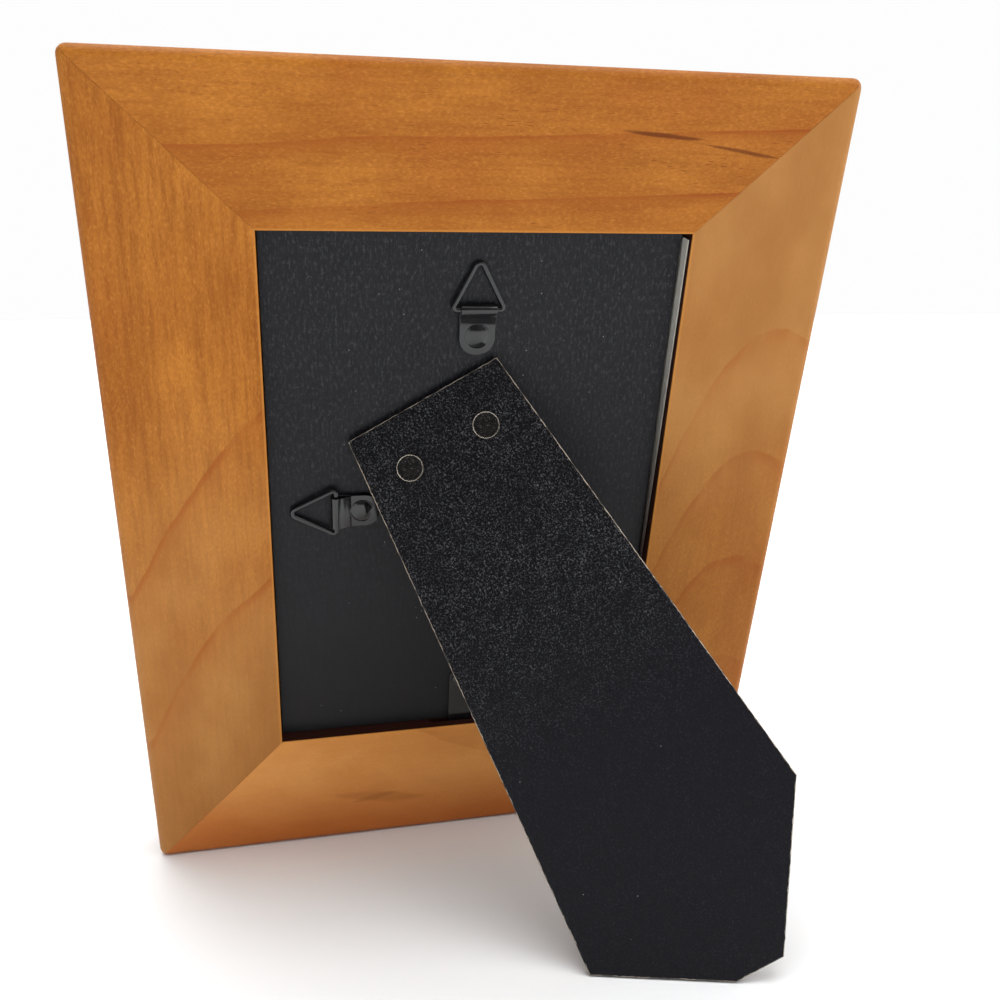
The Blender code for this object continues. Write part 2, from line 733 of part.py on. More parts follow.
def easel(lean, board, parent):
    steel = japanned_steel()
    where = (HINGE_X, BOARD_BACK + PIN_LIFT, HINGE_Z)
    hinge = empty("hinge_axis", parent, where, (0, HINGE_SLANT, 0))
    half = LEAF_WIDTH / 2
    inner = KNUCKLE_HALF
    outer_spans = [(-half, -inner - GAP), (inner + GAP, half)]
    middle_span = [(-inner, inner)]
    board_rivets = [(x, -BOARD_RIVET_DOWN) for x in (-BOARD_RIVET_ACROSS, BOARD_RIVET_ACROSS)]
    low = GAP - PIN_LIFT
    leaf(
        "hinge_leaf_board",
        low,
        low + LEAF_THICKNESS,
        outer_spans,
        [(-inner - GAP, inner + GAP)],
        steel,
        hinge,
        board_rivets,
    )
    for name, (x, z) in zip(("board_rivet_right", "board_rivet_left"), board_rivets):
        stack = GAP + LEAF_THICKNESS
        where = (x, -PIN_LIFT, z)
        rivet_to_board(name, steel, board, hinge, where, BOARD_RIVET_HEAD, stack)
    pin_end = half + GAP
    pin_profile = [
        (0, pin_end + PIN_HEAD),
        (PIN_HEAD_RADIUS, pin_end + PIN_HEAD),
        (PIN_HEAD_RADIUS, pin_end),
        (PIN_RADIUS, pin_end),
    ]
    pin_profile += [(radius, -height) for radius, height in reversed(pin_profile)]
    part(turned("hinge_pin", pin_profile), steel, hinge, rotation=(0, 90 * DEG, 0))

    leg_axis = empty("leg_axis", hinge, rotation=(LEG_OPEN, 0, 0))
    mesh = slab("easel_leg", rounded(leg_outline(lean), 3), LEG_THICKNESS)
    upright = Matrix.Rotation(90 * DEG, 4, "X")
    middle = LEG_LIFT + LEG_THICKNESS / 2
    mesh.transform(Matrix.Translation((0, middle, 0)) @ upright)
    leg = part(mesh, leatherette(), leg_axis)
    high = LEG_LIFT - GAP
    rivet_z = LEG_ABOVE_PIN - LEG_RIVET_DOWN
    leg_rivets = [(x, rivet_z) for x in (-LEG_RIVET_ACROSS, LEG_RIVET_ACROSS)]
    leaf(
        "hinge_leaf_leg",
        high - LEAF_THICKNESS,
        high,
        middle_span,
        [(-half - MM, -inner), (inner, half + MM)],
        steel,
        leg_axis,
        leg_rivets,
    )
    brass = rivet_brass()
    for name, (x, z) in zip(("leg_rivet_right", "leg_rivet_left"), leg_rivets):
        leg_rivet(name, brass, leg, leg_axis, x, z)


# ---------------------------------------------------------------- the assembly


def stand_on_origin(upright):
    """Moves the leant frame so that its box's bottom centre is the world's origin."""
    bpy.context.view_layer.update()
    graph = bpy.context.evaluated_depsgraph_get()
    low = Vector((math.inf,) * 3)
    high = -low
    for obj in parts.objects:
        if obj.type != "MESH":
            continue
        solid = obj.evaluated_get(graph)
        mesh = solid.to_mesh()
        for vertex in mesh.vertices:
            point = solid.matrix_world @ vertex.co
            low = Vector(map(min, low, point))
            high = Vector(map(max, high, point))
        solid.to_mesh_clear()
    upright.location -= Vector(((low.x + high.x) / 2, (low.y + high.y) / 2, low.z))


def main():
    lean = lean_angle()
    upright = empty("frame_upright", rotation=(-lean, 0, 0))
    rails(upright)
    contents(upright)
    board = backing_board(upright)
    steel = japanned_steel()
    hanger("hanger_top", steel, board, upright, (0, HANGER_TOP_Z), 0)
    hanger("hanger_side", steel, board, upright, (HANGER_SIDE_X, 0), 90 * DEG)
    turn_clip(steel, board, upright)
    easel(lean, board, upright)
    stand_on_origin(upright)


main()
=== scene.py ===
"""Looks of the coin display frame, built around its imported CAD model.

Every piece is modelled in millimetres in its own axes, and each vertex keeps that position
in the attribute "place", which the materials read. X runs across, Y out of the back and
Z up, in the frame's upright axes or in the leg's.
"""

import json
import math

import bmesh
import bpy
from mathutils import Matrix, Vector, noise


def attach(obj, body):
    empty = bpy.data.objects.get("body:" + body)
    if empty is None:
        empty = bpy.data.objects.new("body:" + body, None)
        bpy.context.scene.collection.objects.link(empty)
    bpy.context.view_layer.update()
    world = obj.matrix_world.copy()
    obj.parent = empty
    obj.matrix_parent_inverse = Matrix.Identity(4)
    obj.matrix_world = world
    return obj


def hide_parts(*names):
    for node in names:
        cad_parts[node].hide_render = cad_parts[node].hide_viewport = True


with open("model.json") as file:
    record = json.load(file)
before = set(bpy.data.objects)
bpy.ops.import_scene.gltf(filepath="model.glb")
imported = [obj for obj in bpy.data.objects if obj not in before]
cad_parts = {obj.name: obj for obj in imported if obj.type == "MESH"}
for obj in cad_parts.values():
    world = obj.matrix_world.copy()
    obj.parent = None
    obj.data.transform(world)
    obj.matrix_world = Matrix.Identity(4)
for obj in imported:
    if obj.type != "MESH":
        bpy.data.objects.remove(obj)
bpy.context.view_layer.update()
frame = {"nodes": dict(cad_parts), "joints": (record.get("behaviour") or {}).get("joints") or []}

MM = 0.001
DEG = math.radians(1)
GAP = 0.3
SHARP = 32  # degrees between faces, past which an edge isn't smoothed

# Sizes shared with the CAD model, in millimetres
OPENING = (127, 178)
RAIL_WIDTH = 45
BACK_RISE, BACK_CREST = 4.9, 90
FRONT_RISE, FRONT_CREST, FACE_DEPTH = 3, 60, 21
LIP, LIP_BACK, BEAD_DEPTH = 5, 17.6, 21.6
CORNER_RADIUS = 3.2
BOARD_BACK, BOARD_THICKNESS, BOARD_SIDE_GAP = -4.5, 2.5, 1.5
TONGUES = (28, 42, 2.5)  # near and far edge across, reach
MAT_BACK, MAT_THICKNESS, WINDOW_RADIUS, WINDOW_BEVEL = -13.5, 1.5, 18.2, 1.2
GLAZING_BACK, GLAZING_THICKNESS = -15.3, 2
COIN_THICKNESS, COIN_MIDDLE = 2.8, -11.7
COIN_SPACING, COIN_ROWS, COIN_COLUMNS = 52, 3, 2
HANGER_LIFT, HANGER_TOP_Z, HANGER_SIDE_X = 2.05, 65.6, 43.0
CLIP_Z, CLIP_REACH, CLIP_WIDTH, CLIP_THICKNESS = -71, 21, 8, 0.8
HINGE, HINGE_SLANT, LEG_OPEN = (12.6, -2.3, 31.1), 30.3 * DEG, 35 * DEG
PIN_LIFT, LEG_LIFT, LEG_THICKNESS = 2.2, 2, 2.6
LEAF_WIDTH, LEAF_LENGTH, LEAF_THICKNESS, KNUCKLE_HALF = 40, 22, 0.8, 8
LEG_TOP_HALF, LEG_FOOT, LEG_KNEE, LEG_LENGTH = 26.25, (39.2, 173.3), (-42.4, 151.2), 194.5
LEG_RIVET_ACROSS, LEG_RIVET_DOWN, BOARD_RIVET_ACROSS, BOARD_RIVET_DOWN = 13.3, 16.6, 5, 15.5
STRAP_HALF, STRAP_CORNER, STRAP_RIVET = 5.5, 5, 8.2
RING_HALF, RING_HEIGHT, RING_REST = 8.1, 15.6, 4  # the last in degrees off the board
LEG_ABOVE_PIN = (PIN_LIFT - GAP + LEG_LIFT * math.cos(LEG_OPEN)) / math.sin(LEG_OPEN)


def joint(name):
    return next(j for j in frame["joints"] if j["name"] == name)


# The clip turns about the upright frame's Y, which gives the lean and the origin
clip_axis = Vector(joint("clip_turn")["axis"])
LEAN = math.atan2(-clip_axis.z, clip_axis.y)
UPRIGHT_TURN = Matrix.Rotation(-LEAN, 4, "X")
clip_place = Vector(joint("clip_turn")["pos_m"])
ORIGIN = clip_place - UPRIGHT_TURN @ (Vector((0, BOARD_BACK, CLIP_Z)) * MM)
UPRIGHT = Matrix.Translation(ORIGIN) @ UPRIGHT_TURN


def at(x, y, z):
    return Matrix.Translation(Vector((x, y, z)) * MM)


def turn(degrees, axis):
    return Matrix.Rotation(degrees * DEG, 4, axis)


HINGE_FRAME = UPRIGHT @ at(*HINGE) @ Matrix.Rotation(HINGE_SLANT, 4, "Y")
LEG_FRAME = HINGE_FRAME @ Matrix.Rotation(LEG_OPEN, 4, "X")


# ---- node graphs


class Value:
    """A number in a node graph, with the usual arithmetic."""

    def __init__(self, graph, socket):
        self.graph, self.socket = graph, socket

    def __add__(self, other):
        return self.graph.math("ADD", self, other)

    def __sub__(self, other):
        return self.graph.math("SUBTRACT", self, other)

    def __rsub__(self, other):
        return self.graph.math("SUBTRACT", other, self)

    def __mul__(self, other):
        return self.graph.math("MULTIPLY", self, other)


class Graph:
    """A node tree under construction. What its methods take may be numbers or Values."""

    def __init__(self, tree):
        self.tree = tree

    def node(self, kind, **settings):
        made = self.tree.nodes.new(kind)
        for name, value in settings.items():
            setattr(made, name, value)
        return made

    def feed(self, socket, value):
        if isinstance(value, Value):
            value = value.socket
        if isinstance(value, bpy.types.NodeSocket):
            self.tree.links.new(value, socket)
        else:
            socket.default_value = value

    def fill(self, sockets, *values):
        for socket, value in zip(sockets, values):
            self.feed(socket, value)

    def math(self, operation, *values):
        made = self.node("ShaderNodeMath", operation=operation)
        self.fill(made.inputs, *values)
        return Value(self, made.outputs[0])

    def parts(self, vector):
        made = self.node("ShaderNodeSeparateXYZ")
        self.feed(made.inputs[0], vector)
        return [Value(self, output) for output in made.outputs]

    def step(self, value, low, high, start=0.0, stop=1.0):
        """A smooth step from start to stop as value goes from low to high."""
        made = self.node("ShaderNodeMapRange", interpolation_type="SMOOTHSTEP")
        self.fill(made.inputs, value, low, high, start, stop)
        return Value(self, made.outputs[0])


class Look(Graph):
    """A material under construction."""

    def __init__(self, name, own_place=True):
        self.material = bpy.data.materials.new(name)
        self.material.use_nodes = True
        super().__init__(self.material.node_tree)
        self.shader = self.tree.nodes["Principled BSDF"]
        if own_place:
            self.place = self.node("ShaderNodeAttribute", attribute_name="place").outputs[1]
        else:
            metres = self.node("ShaderNodeTexCoord").outputs["Object"]
            self.place = self.vector("MULTIPLY", metres, (1 / MM,) * 3)

    def vector(self, operation, vector, other):
        made = self.node("ShaderNodeVectorMath", operation=operation)
        self.feed(made.inputs[0], vector)
        made.inputs[1].default_value = other
        return made.outputs[0]

    def stretched(self, size, stretch):
        return self.vector("MULTIPLY", self.place, tuple(1 / (size * s) for s in stretch))

    def noise(self, size, stretch=(1, 1, 1), detail=2.0, seed=0.0, roughness=0.5):
        """Noise from 0 to 1 whose features are about size millimetres across."""
        made = self.node("ShaderNodeTexNoise")
        offset = (seed, seed * 2, seed * 3)
        self.feed(made.inputs["Vector"], self.vector("ADD", self.stretched(size, stretch), offset))
        for name, number in (("Scale", 1.0), ("Detail", detail), ("Roughness", roughness)):
            made.inputs[name].default_value = number
        return Value(self, made.outputs[0])

    def cells(self, size, stretch=(1, 1, 1), feature="F1"):
        """Voronoi cells about size millimetres apart."""
        made = self.node("ShaderNodeTexVoronoi", feature=feature)
        self.feed(made.inputs["Vector"], self.stretched(size, stretch))
        made.inputs["Scale"].default_value = 1.0
        return Value(self, made.outputs[0])

    def dots(self, size, low, high, stretch=(1, 1, 1)):
        """1 at the middle of each cell, fading to 0 between two distances from it."""
        return self.step(self.cells(size, stretch), low, high, 1, 0)

    def mix(self, factor, one, other):
        made = self.node("ShaderNodeMix", data_type="RGBA")
        self.fill((made.inputs[0], *made.inputs[6:8]), factor, one, other)
        return made.outputs[2]

    def bump(self, height, depth, strength=1.0):
        """A bump whose full height is depth millimetres."""
        made = self.node("ShaderNodeBump")
        made.inputs["Strength"].default_value = strength
        made.inputs["Distance"].default_value = depth * MM
        self.feed(made.inputs["Height"], height)
        return made.outputs[0]

    def finish(self, color, roughness, normal=None, **sockets):
        self.feed(self.shader.inputs["Base Color"], color)
        self.feed(self.shader.inputs["Roughness"], roughness)
        if normal:
            self.feed(self.shader.inputs["Normal"], normal)
        for name, value in sockets.items():
            self.feed(self.shader.inputs[name.replace("_", " ")], value)
        return self.material


def linked(name, data):
    """A new object in the scene."""
    obj = bpy.data.objects.new(name, data)
    bpy.context.scene.collection.objects.link(obj)
    return obj


def rgb(red, green, blue):
    return (red, green, blue, 1)


# ---- materials

WOOD_LIGHT = rgb(0.515, 0.190, 0.027)
WOOD_MID = rgb(0.405, 0.138, 0.017)
WOOD_LINE = rgb(0.31, 0.072, 0.009)
WOOD_DARK = rgb(0.20, 0.048, 0.0055)
WOOD_RED = rgb(0.43, 0.125, 0.019)
WOOD_PORE = rgb(0.13, 0.028, 0.004)
WALL_STAIN_AND_SHADE = rgb(0.022, 0.006, 0.005)


def growth_lines(look, along, out, bend, centre, start, warp, width, shown):
    """Dark lines, one per unit of phase. along and out are how many cross a millimetre
    each way, and bend curves them about centre. Each is a thin line in a wide halo, and
    only those whose phase is within shown are there."""
    across, depth, length = look.parts(look.place)
    off = across - centre
    drift = look.noise(30, (1, 1, 2.6), 2, start + 3) - 0.5
    wobble = look.noise(6, (1, 1, 3), 3, start + 5) - 0.5
    phase = length * along + across * out + depth * 0.05 + off * off * bend
    phase = phase + drift * (2 * warp) + wobble * (0.3 * warp + 0.03) + start
    saw = look.math("FRACT", phase)
    drop = look.step(saw, 0.985, 1.0, 1, 0)
    halo = look.step(saw, 0.985 - 4.5 * width, 0.985) * drop
    core = look.step(saw, 0.985 - width, 0.98) * drop
    broken = look.step(look.noise(14, (0.6, 1, 4), 2, start + 9), 0.38, 0.60, 0.15, 1)
    first = look.step(phase, shown[0] - 0.4, shown[0] - 0.3)
    last = look.step(phase, shown[1] + 0.02, shown[1] + 0.06, 1, 0)
    line = halo * 0.30 + core * broken * 0.70
    return line * first * last


def streak(look, start, stop, half_width):
    """A dark spindle between two points, each so far along the rail and across it."""
    across, _, length = look.parts(look.place)
    way = (length - start[0]) * (1 / (stop[0] - start[0]))
    middle = way * (stop[1] - start[1]) + start[1]
    waver = (look.noise(3, (1, 1, 3), 2, 33) - 0.5) * 0.9
    off = look.math("ABSOLUTE", across - middle + waver)
    reach = way * (1 - way) * (4 * half_width)
    return look.step(reach - off, -0.3 * half_width, 0.5 * half_width)


def wood(name, start, contrast, streaks, flecks, tint, tint_top=0.0, painted_light_gain=1.0, outer=0.0,
         resin=(), **lines):
    """Stained alder with its own run of growth lines. Each entry in resin is a dark streak:
    its two ends, half its width and its strength."""
    look = Look(name)
    across, depth, length = look.parts(look.place)
    line = growth_lines(look, start=start, **lines) * contrast
    blotch = look.step(look.noise(21, (1, 1, 1.7), 3, start + 1), 0.32, 0.7)
    figure = look.step(look.noise(1.3, (1, 1, 14), 3, start + 2, 0.6), 0.38, 0.72)
    bands = look.step(look.noise(6.5, (1, 1, 7), 2, start + 12), 0.35, 0.7)
    mottle = look.noise(0.55, (1, 1, 2.2), 3, start + 4, 0.65)
    hue = look.step(look.noise(34, (1, 1, 1.6), 1, start + 8), 0.35, 0.7, 0, 0.6)
    color = look.mix(blotch, WOOD_MID, WOOD_LIGHT)
    color = look.mix(hue, color, look.mix(blotch, WOOD_RED, WOOD_MID))
    color = look.mix(bands * 0.16, color, WOOD_DARK)
    color = look.mix(figure * streaks, color, WOOD_DARK)
    color = look.mix(look.step(mottle, 0.34, 0.72, 0, 0.34), color, WOOD_DARK)
    color = look.mix(look.step(mottle, 0.30, 0.44, 0.22, 0), color, rgb(0.70, 0.30, 0.06))
    color = look.mix(line, color, WOOD_LINE)
    # Pores and longer flecks: short dark dashes along the grain, in drifts
    pores = look.dots(0.62, 0.10, 0.27, (0.5, 1, 4.0))
    pores = pores * look.step(look.noise(8, (1, 1, 3), 2, start + 6), 0.40, 0.62)
    dashes = look.dots(1.5, 0.08, 0.20, (0.30, 1, 5.0))
    dashes = dashes * look.step(look.noise(11, (1, 1, 3), 2, start + 7), 0.50, 0.64)
    color = look.mix(pores * 0.5, color, WOOD_PORE)
    color = look.mix(dashes * flecks, color, WOOD_PORE)
    # Painted light: paler and yellower toward the low end, where light comes from below. On the
    # bottom rail the gain brightens all of it, which is painted light that offsets the shade it
    # stands in.
    paler_tone, darker_tone = (0.48, 0.232, 0.073), (0.40, 0.176, 0.049)
    pale = look.mix(blotch, rgb(*(painted_light_gain * c for c in darker_tone)), rgb(*(painted_light_gain * c for c in paler_tone)))
    pale = look.mix(line * 0.8, pale, rgb(0.40, 0.12, 0.022))
    painted_light_share = look.step(length + hue * 60, -60, 60, tint, tint_top)
    color = look.mix(painted_light_share, color, pale)
    # Painted shade: darker and redder toward the outer edge, as far as outer sets it. This is on
    # the bottom rail, whose outer part gets less light.
    color = look.mix(look.step(across, 8, 44, 0, outer), color, rgb(0.36, 0.06, 0.004))
    for begin, end, half_width, strength in resin:
        dark = streak(look, begin, end, half_width)
        color = look.mix(dark * strength, color, WOOD_PORE)
    # The stain is thinner on the arris at the rebate. The rebate wall is painted dark: dark stain,
    # and painted shade for the recess.
    color = look.mix(look.step(across, 0.2, 1.0, 0.5, 0), color, rgb(0.66, 0.27, 0.05))
    wall = look.step(across, 6, 7, 1, 0) * look.step(depth, -0.5, -0.12, 1, 0)
    wall = wall * look.step(depth, -17.75, -17.5)
    color = look.mix(wall, color, look.mix(mottle, WALL_STAIN_AND_SHADE, rgb(0.05, 0.016, 0.010)))
    roughness = look.step(mottle, 0.2, 0.8, 0.42, 0.58)
    height = pores * -1.0 + mottle * 0.7 + figure * 0.4
    return look.finish(color, roughness, look.bump(height, 0.04, 0.6), Specular_IOR_Level=0.12)


def board_paper():
    """Black paper with a faint upright weave, and dust on it."""
    look = Look("black_board_paper")
    _, _, length = look.parts(look.place)
    upper = look.step(length, -60, 70, 0.15, 1.0)
    threads = look.noise(0.42, (1, 1, 16), 2, 1)
    cross = look.noise(0.6, (9, 1, 1), 2, 4)
    weave = threads * 0.75 + cross * 0.25
    cloud = look.noise(28, (1, 1, 1), 2, 6)
    tone = look.step(weave, 0.3, 0.7) * 0.6 + cloud * 0.4
    color = look.mix(tone, rgb(0.0018, 0.0018, 0.0030), rgb(0.0075, 0.0075, 0.0105))
    grit = look.step(look.noise(0.9, (1, 1, 2.4), 4, 15, 0.85), 0.50, 0.70)
    color = look.mix(grit * upper * 0.6, color, rgb(0.075, 0.075, 0.085))
    # Painted light: the paper is lighter toward the bottom, where light comes from below.
    color = look.mix(look.step(length, -80, 40, 0.5, 0), color, rgb(0.018, 0.018, 0.019))
    spots = look.dots(3.1, 0.035, 0.065)
    sparse = look.step(look.noise(7, (1, 1, 1), 1, 11), 0.56, 0.62)
    color = look.mix(spots * sparse * 0.55, color, rgb(0.45, 0.45, 0.44))
    roughness = look.step(weave, 0.3, 0.7, 0.46, 0.36)
    return look.finish(color, roughness, look.bump(weave, 0.03, 0.55), Specular_IOR_Level=0.22)


def board_edge():
    look = Look("board_edge")
    fibre = look.noise(0.35, (4, 1, 4), 3, 2)
    color = look.mix(look.step(fibre, 0.4, 0.65), rgb(0.012, 0.011, 0.011), rgb(0.05, 0.04, 0.032))
    return look.finish(color, 0.85, look.bump(fibre, 0.08, 0.6))


def leather_paper():
    """Black leatherette paper, pebbled at about 0.6 mm, smoother toward the foot."""
    look = Look("leatherette_skin")
    _, _, length = look.parts(look.place)
    grain = look.noise(0.40, (1, 1, 1), 2, 2, 0.6)
    pebble = look.cells(0.56, feature="SMOOTH_F1")
    height = grain * 1.1 + pebble * -0.5
    upper = look.step(length, -120, -50, 0.12, 1.0)
    cloud = look.noise(7, (1, 1, 1), 2, 7)
    clumps = look.step(look.noise(1.2, (1, 1, 1), 2, 12), 0.35, 0.65, 0.65, 1.0)
    peaks = look.step(look.noise(0.56, (1, 1, 1), 3, 2, 0.85), 0.50, 0.70)
    # Painted highlight: grey on the pebbles' peaks, in clumps, over the upper part. Toward the
    # foot, where these give out, the base is lighter instead: painted sheen.
    painted_highlight_share = look.step(cloud, 0.3, 0.7, 0.6, 1.0) * upper
    base = look.mix(upper, rgb(0.0085, 0.0085, 0.0115), rgb(0.0008, 0.0008, 0.0014))
    color = look.mix(peaks * clumps * painted_highlight_share, base, rgb(0.16, 0.16, 0.178))
    spots = look.dots(4.3, 0.022, 0.045)
    sparse = look.step(look.noise(8, (1, 1, 1), 1, 21), 0.55, 0.6)
    color = look.mix(spots * sparse * 0.6, color, rgb(0.5, 0.48, 0.45))
    roughness = look.step(height, 0.15, 0.45, 0.62, 0.42)
    relief = look.bump(height * look.step(length, -120, -50, 0.25, 1.0), 0.2, 1.0)
    return look.finish(color, roughness, relief, Specular_IOR_Level=0.13)


def leg_edge():
    """Cut fibreboard: blackened, with a pale line where the skin is torn at its arris."""
    look = Look("leg_cut_edge")
    _, height, _ = look.parts(look.place)
    ragged = look.noise(0.8, (1, 1, 1), 3, 5)
    fine = look.noise(0.22, (1, 1, 1), 2, 9)
    top = LEG_LIFT + LEG_THICKNESS
    edge = height + ragged * 0.34 + fine * 0.12
    bare = look.step(edge, top + 0.02, top + 0.12)
    patchy = look.step(look.noise(3.5, (1, 1, 1), 3, 14), 0.36, 0.58, 0.12, 1)
    dark = look.mix(look.step(fine, 0.35, 0.7), rgb(0.008, 0.007, 0.007), rgb(0.04, 0.03, 0.022))
    tan = look.mix(fine, rgb(0.26, 0.20, 0.14), rgb(0.56, 0.50, 0.41))
    color = look.mix(bare * patchy, dark, tan)
    return look.finish(color, 0.8, look.bump(fine, 0.1, 0.7))


def japanned():
    """Glossy black stoving enamel on steel."""
    look = Look("japanned_enamel")
    peel = look.noise(1.3, (1, 1, 1), 2, 3)
    specks = look.dots(1.9, 0.03, 0.06)
    sparse = look.step(look.noise(3, (1, 1, 1), 1, 5), 0.5, 0.6)
    cloud = look.noise(5, (1, 1, 1), 2, 8)
    color = look.mix(cloud, rgb(0.004, 0.004, 0.0045), rgb(0.009, 0.009, 0.010))
    color = look.mix(specks * sparse * 0.5, color, rgb(0.5, 0.5, 0.5))
    roughness = look.step(cloud, 0.3, 0.7, 0.14, 0.22)
    normal = look.bump(peel, 0.012, 0.6)
    gloss = {"Specular_IOR_Level": 0.5, "Coat_Weight": 0.3, "Coat_Roughness": 0.06}
    return look.finish(color, roughness, normal, **gloss)


def worn_brass():
    """Brass whose black paint is left only inside the rim."""
    look = Look("rivet_brass_worn")
    x, _, z = look.parts(look.place)
    radius = look.math("SQRT", x * x + z * z)
    chips = look.noise(0.55, (1, 1, 1), 3, 4, 0.65)
    flecks = look.noise(0.28, (1, 1, 1), 2, 15, 0.6)
    reach = radius + (chips - 0.5) * 0.5
    bare = look.step(reach, 3.84, 3.94) * look.step(chips, 0.30, 0.5, 0.45, 1)
    # Painted reflection: patches of metal colour on the painted face, which are not metallic.
    spots = look.step(flecks, 0.62, 0.68) * look.step(chips, 0.45, 0.58) * 0.55
    metal = look.mix(chips, rgb(0.36, 0.31, 0.24), rgb(0.78, 0.73, 0.63))
    paint = look.mix(look.step(chips, 0.4, 0.6), rgb(0.001, 0.001, 0.001), rgb(0.014, 0.012, 0.012))
    color = look.mix(look.math("MAXIMUM", bare, spots), paint, metal)
    roughness = look.step(bare, 0, 1, 0.42, 0.27)
    height = chips * 0.7 + flecks * 0.3
    relief = look.bump(height, 0.12, 0.9)
    return look.finish(color, roughness, relief, Metallic=bare * 0.9, Specular_IOR_Level=0.22)


def plain_steel():
    """Blackened steel of the hinge, rubbed bright in places."""
    look = Look("hinge_steel")
    cloud = look.noise(3.5, (1, 1, 1), 3, 2)
    scratch = look.noise(0.25, (14, 1, 1), 2, 6)
    rub = look.step(scratch, 0.6, 0.72) * look.step(cloud, 0.45, 0.65) * 0.4
    color = look.mix(cloud, rgb(0.015, 0.015, 0.016), rgb(0.045, 0.045, 0.048))
    color = look.mix(rub, color, rgb(0.35, 0.35, 0.36))
    roughness = look.step(cloud, 0.3, 0.7, 0.28, 0.46)
    return look.finish(color, roughness, look.bump(scratch, 0.015, 0.5), Metallic=0.7)


def card(name, pale, dark):
    look = Look(name)
    fibre = look.noise(0.4, (1, 1, 1), 4, 3)
    cloud = look.noise(18, (1, 1, 1), 2, 5)
    tone = fibre * 0.5 + cloud * 0.5
    color = look.mix(look.step(tone, 0.3, 0.7), dark, pale)
    return look.finish(color, 0.9, look.bump(fibre, 0.04, 0.6))


def felt():
    look = Look("tray_felt_nap", own_place=False)
    nap = look.noise(0.3, (1, 1, 1), 4, 3, 0.7)
    color = look.mix(look.step(nap, 0.3, 0.7), rgb(0.008, 0.014, 0.045), rgb(0.03, 0.05, 0.13))
    return look.finish(color, 0.95, look.bump(nap, 0.12, 0.9), Sheen_Weight=0.4)


def beech():
    look = Look("spline_beech_wood", own_place=False)
    grain = look.noise(0.8, (1, 1, 8), 3, 2)
    flecks = look.dots(0.9, 0.12, 0.3, (0.5, 1, 3))
    color = look.mix(look.step(grain, 0.3, 0.7), rgb(0.50, 0.33, 0.18), rgb(0.62, 0.45, 0.27))
    color = look.mix(flecks * 0.4, color, rgb(0.32, 0.17, 0.08))
    return look.finish(color, 0.65, look.bump(grain, 0.05, 0.6))


def silver():
    """Struck silver: bright high relief, toned in the recesses and toward the rim."""
    look = Look("coin_silver_struck")
    x, y, z = look.parts(look.place)
    radius = look.math("SQRT", x * x + y * y)
    cloud = look.noise(6, (1, 1, 1), 3, 4)
    hairline = look.noise(0.22, (12, 1, 1), 2, 9)
    low = look.step(z, 1.03, 1.30, 1, 0)
    toned = look.step(radius + cloud * 9, 16, 25, 0, 0.5)
    color = look.mix(low * 0.8, rgb(0.93, 0.92, 0.90), rgb(0.36, 0.35, 0.345))
    color = look.mix(toned, color, rgb(0.44, 0.37, 0.26))
    roughness = look.step(cloud, 0.3, 0.7, 0.16, 0.30) + low * 0.12
    return look.finish(color, roughness, look.bump(hairline, 0.012, 0.4), Metallic=1.0)


def glass():
    """Clear glazing that mirrors more at a slant, with a green cast and faint dust."""
    look = Look("clear_glazing")
    clear = look.node("ShaderNodeBsdfTransparent")
    clear.inputs[0].default_value = rgb(0.985, 0.99, 0.985)
    dust = look.noise(1.1, (1, 1, 1), 3, 5)
    look.finish(rgb(0.91, 0.93, 0.92), look.step(dust, 0.3, 0.7, 0.02, 0.05), Metallic=1.0)
    slant = look.node("ShaderNodeFresnel")
    slant.inputs["IOR"].default_value = 1.45
    blend = look.node("ShaderNodeMixShader")
    look.fill(blend.inputs, *(node.outputs[0] for node in (slant, clear, look.shader)))
    output = next(n for n in look.tree.nodes if n.type == "OUTPUT_MATERIAL")
    look.feed(output.inputs[0], blend.outputs[0])
    return look.material


# ---- mesh helpers


def cleaned(name, points, faces, indices=()):
    mesh = bpy.data.meshes.new(name)
    mesh.from_pydata([tuple(p) for p in points], [], faces)
    if indices:
        mesh.polygons.foreach_set("material_index", indices)
    shape = bmesh.new()
    shape.from_mesh(mesh)
    bmesh.ops.remove_doubles(shape, verts=shape.verts, dist=0.0005)
    bmesh.ops.recalc_face_normals(shape, faces=shape.faces)
    shape.to_mesh(mesh)
    shape.free()
    return mesh


def piece(name, shape, matrix, body, slot, looks, replaces):
    """Makes a piece from (points, faces) in millimetres, and puts it on its body. Of two
    looks, the second is for the sides, and its last two faces are its flat ones."""
    indices = [1] * (len(shape[1]) - 2) + [0, 0] if len(looks) == 2 else ()
    mesh = cleaned(name, *shape, indices)
    keep_place(mesh)
    mesh.transform(matrix @ Matrix.Scale(MM, 4))
    shade(mesh)
    for look in looks:
        mesh.materials.append(look)
    obj = linked(name, mesh)
    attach(obj, body)
    for node in replaces:
        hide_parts(node)
    return obj


def shade(mesh):
    """Smooth, except across sharp edges and on the flat faces of plates."""
    mesh.shade_smooth()
    mesh.set_sharp_from_angle(angle=SHARP * DEG)
    for face in mesh.polygons:
        face.use_smooth = face.loop_total <= 8


def keep_place(mesh, to_own=Matrix()):
    """Writes each vertex's place in the piece's own axes."""
    places = [c for v in mesh.vertices for c in to_own @ v.co]
    kept = mesh.attributes.new("place", "FLOAT_VECTOR", "POINT")
    kept.data.foreach_set("vector", places)


def polar(radius, angle):
    return radius * math.cos(angle), radius * math.sin(angle)


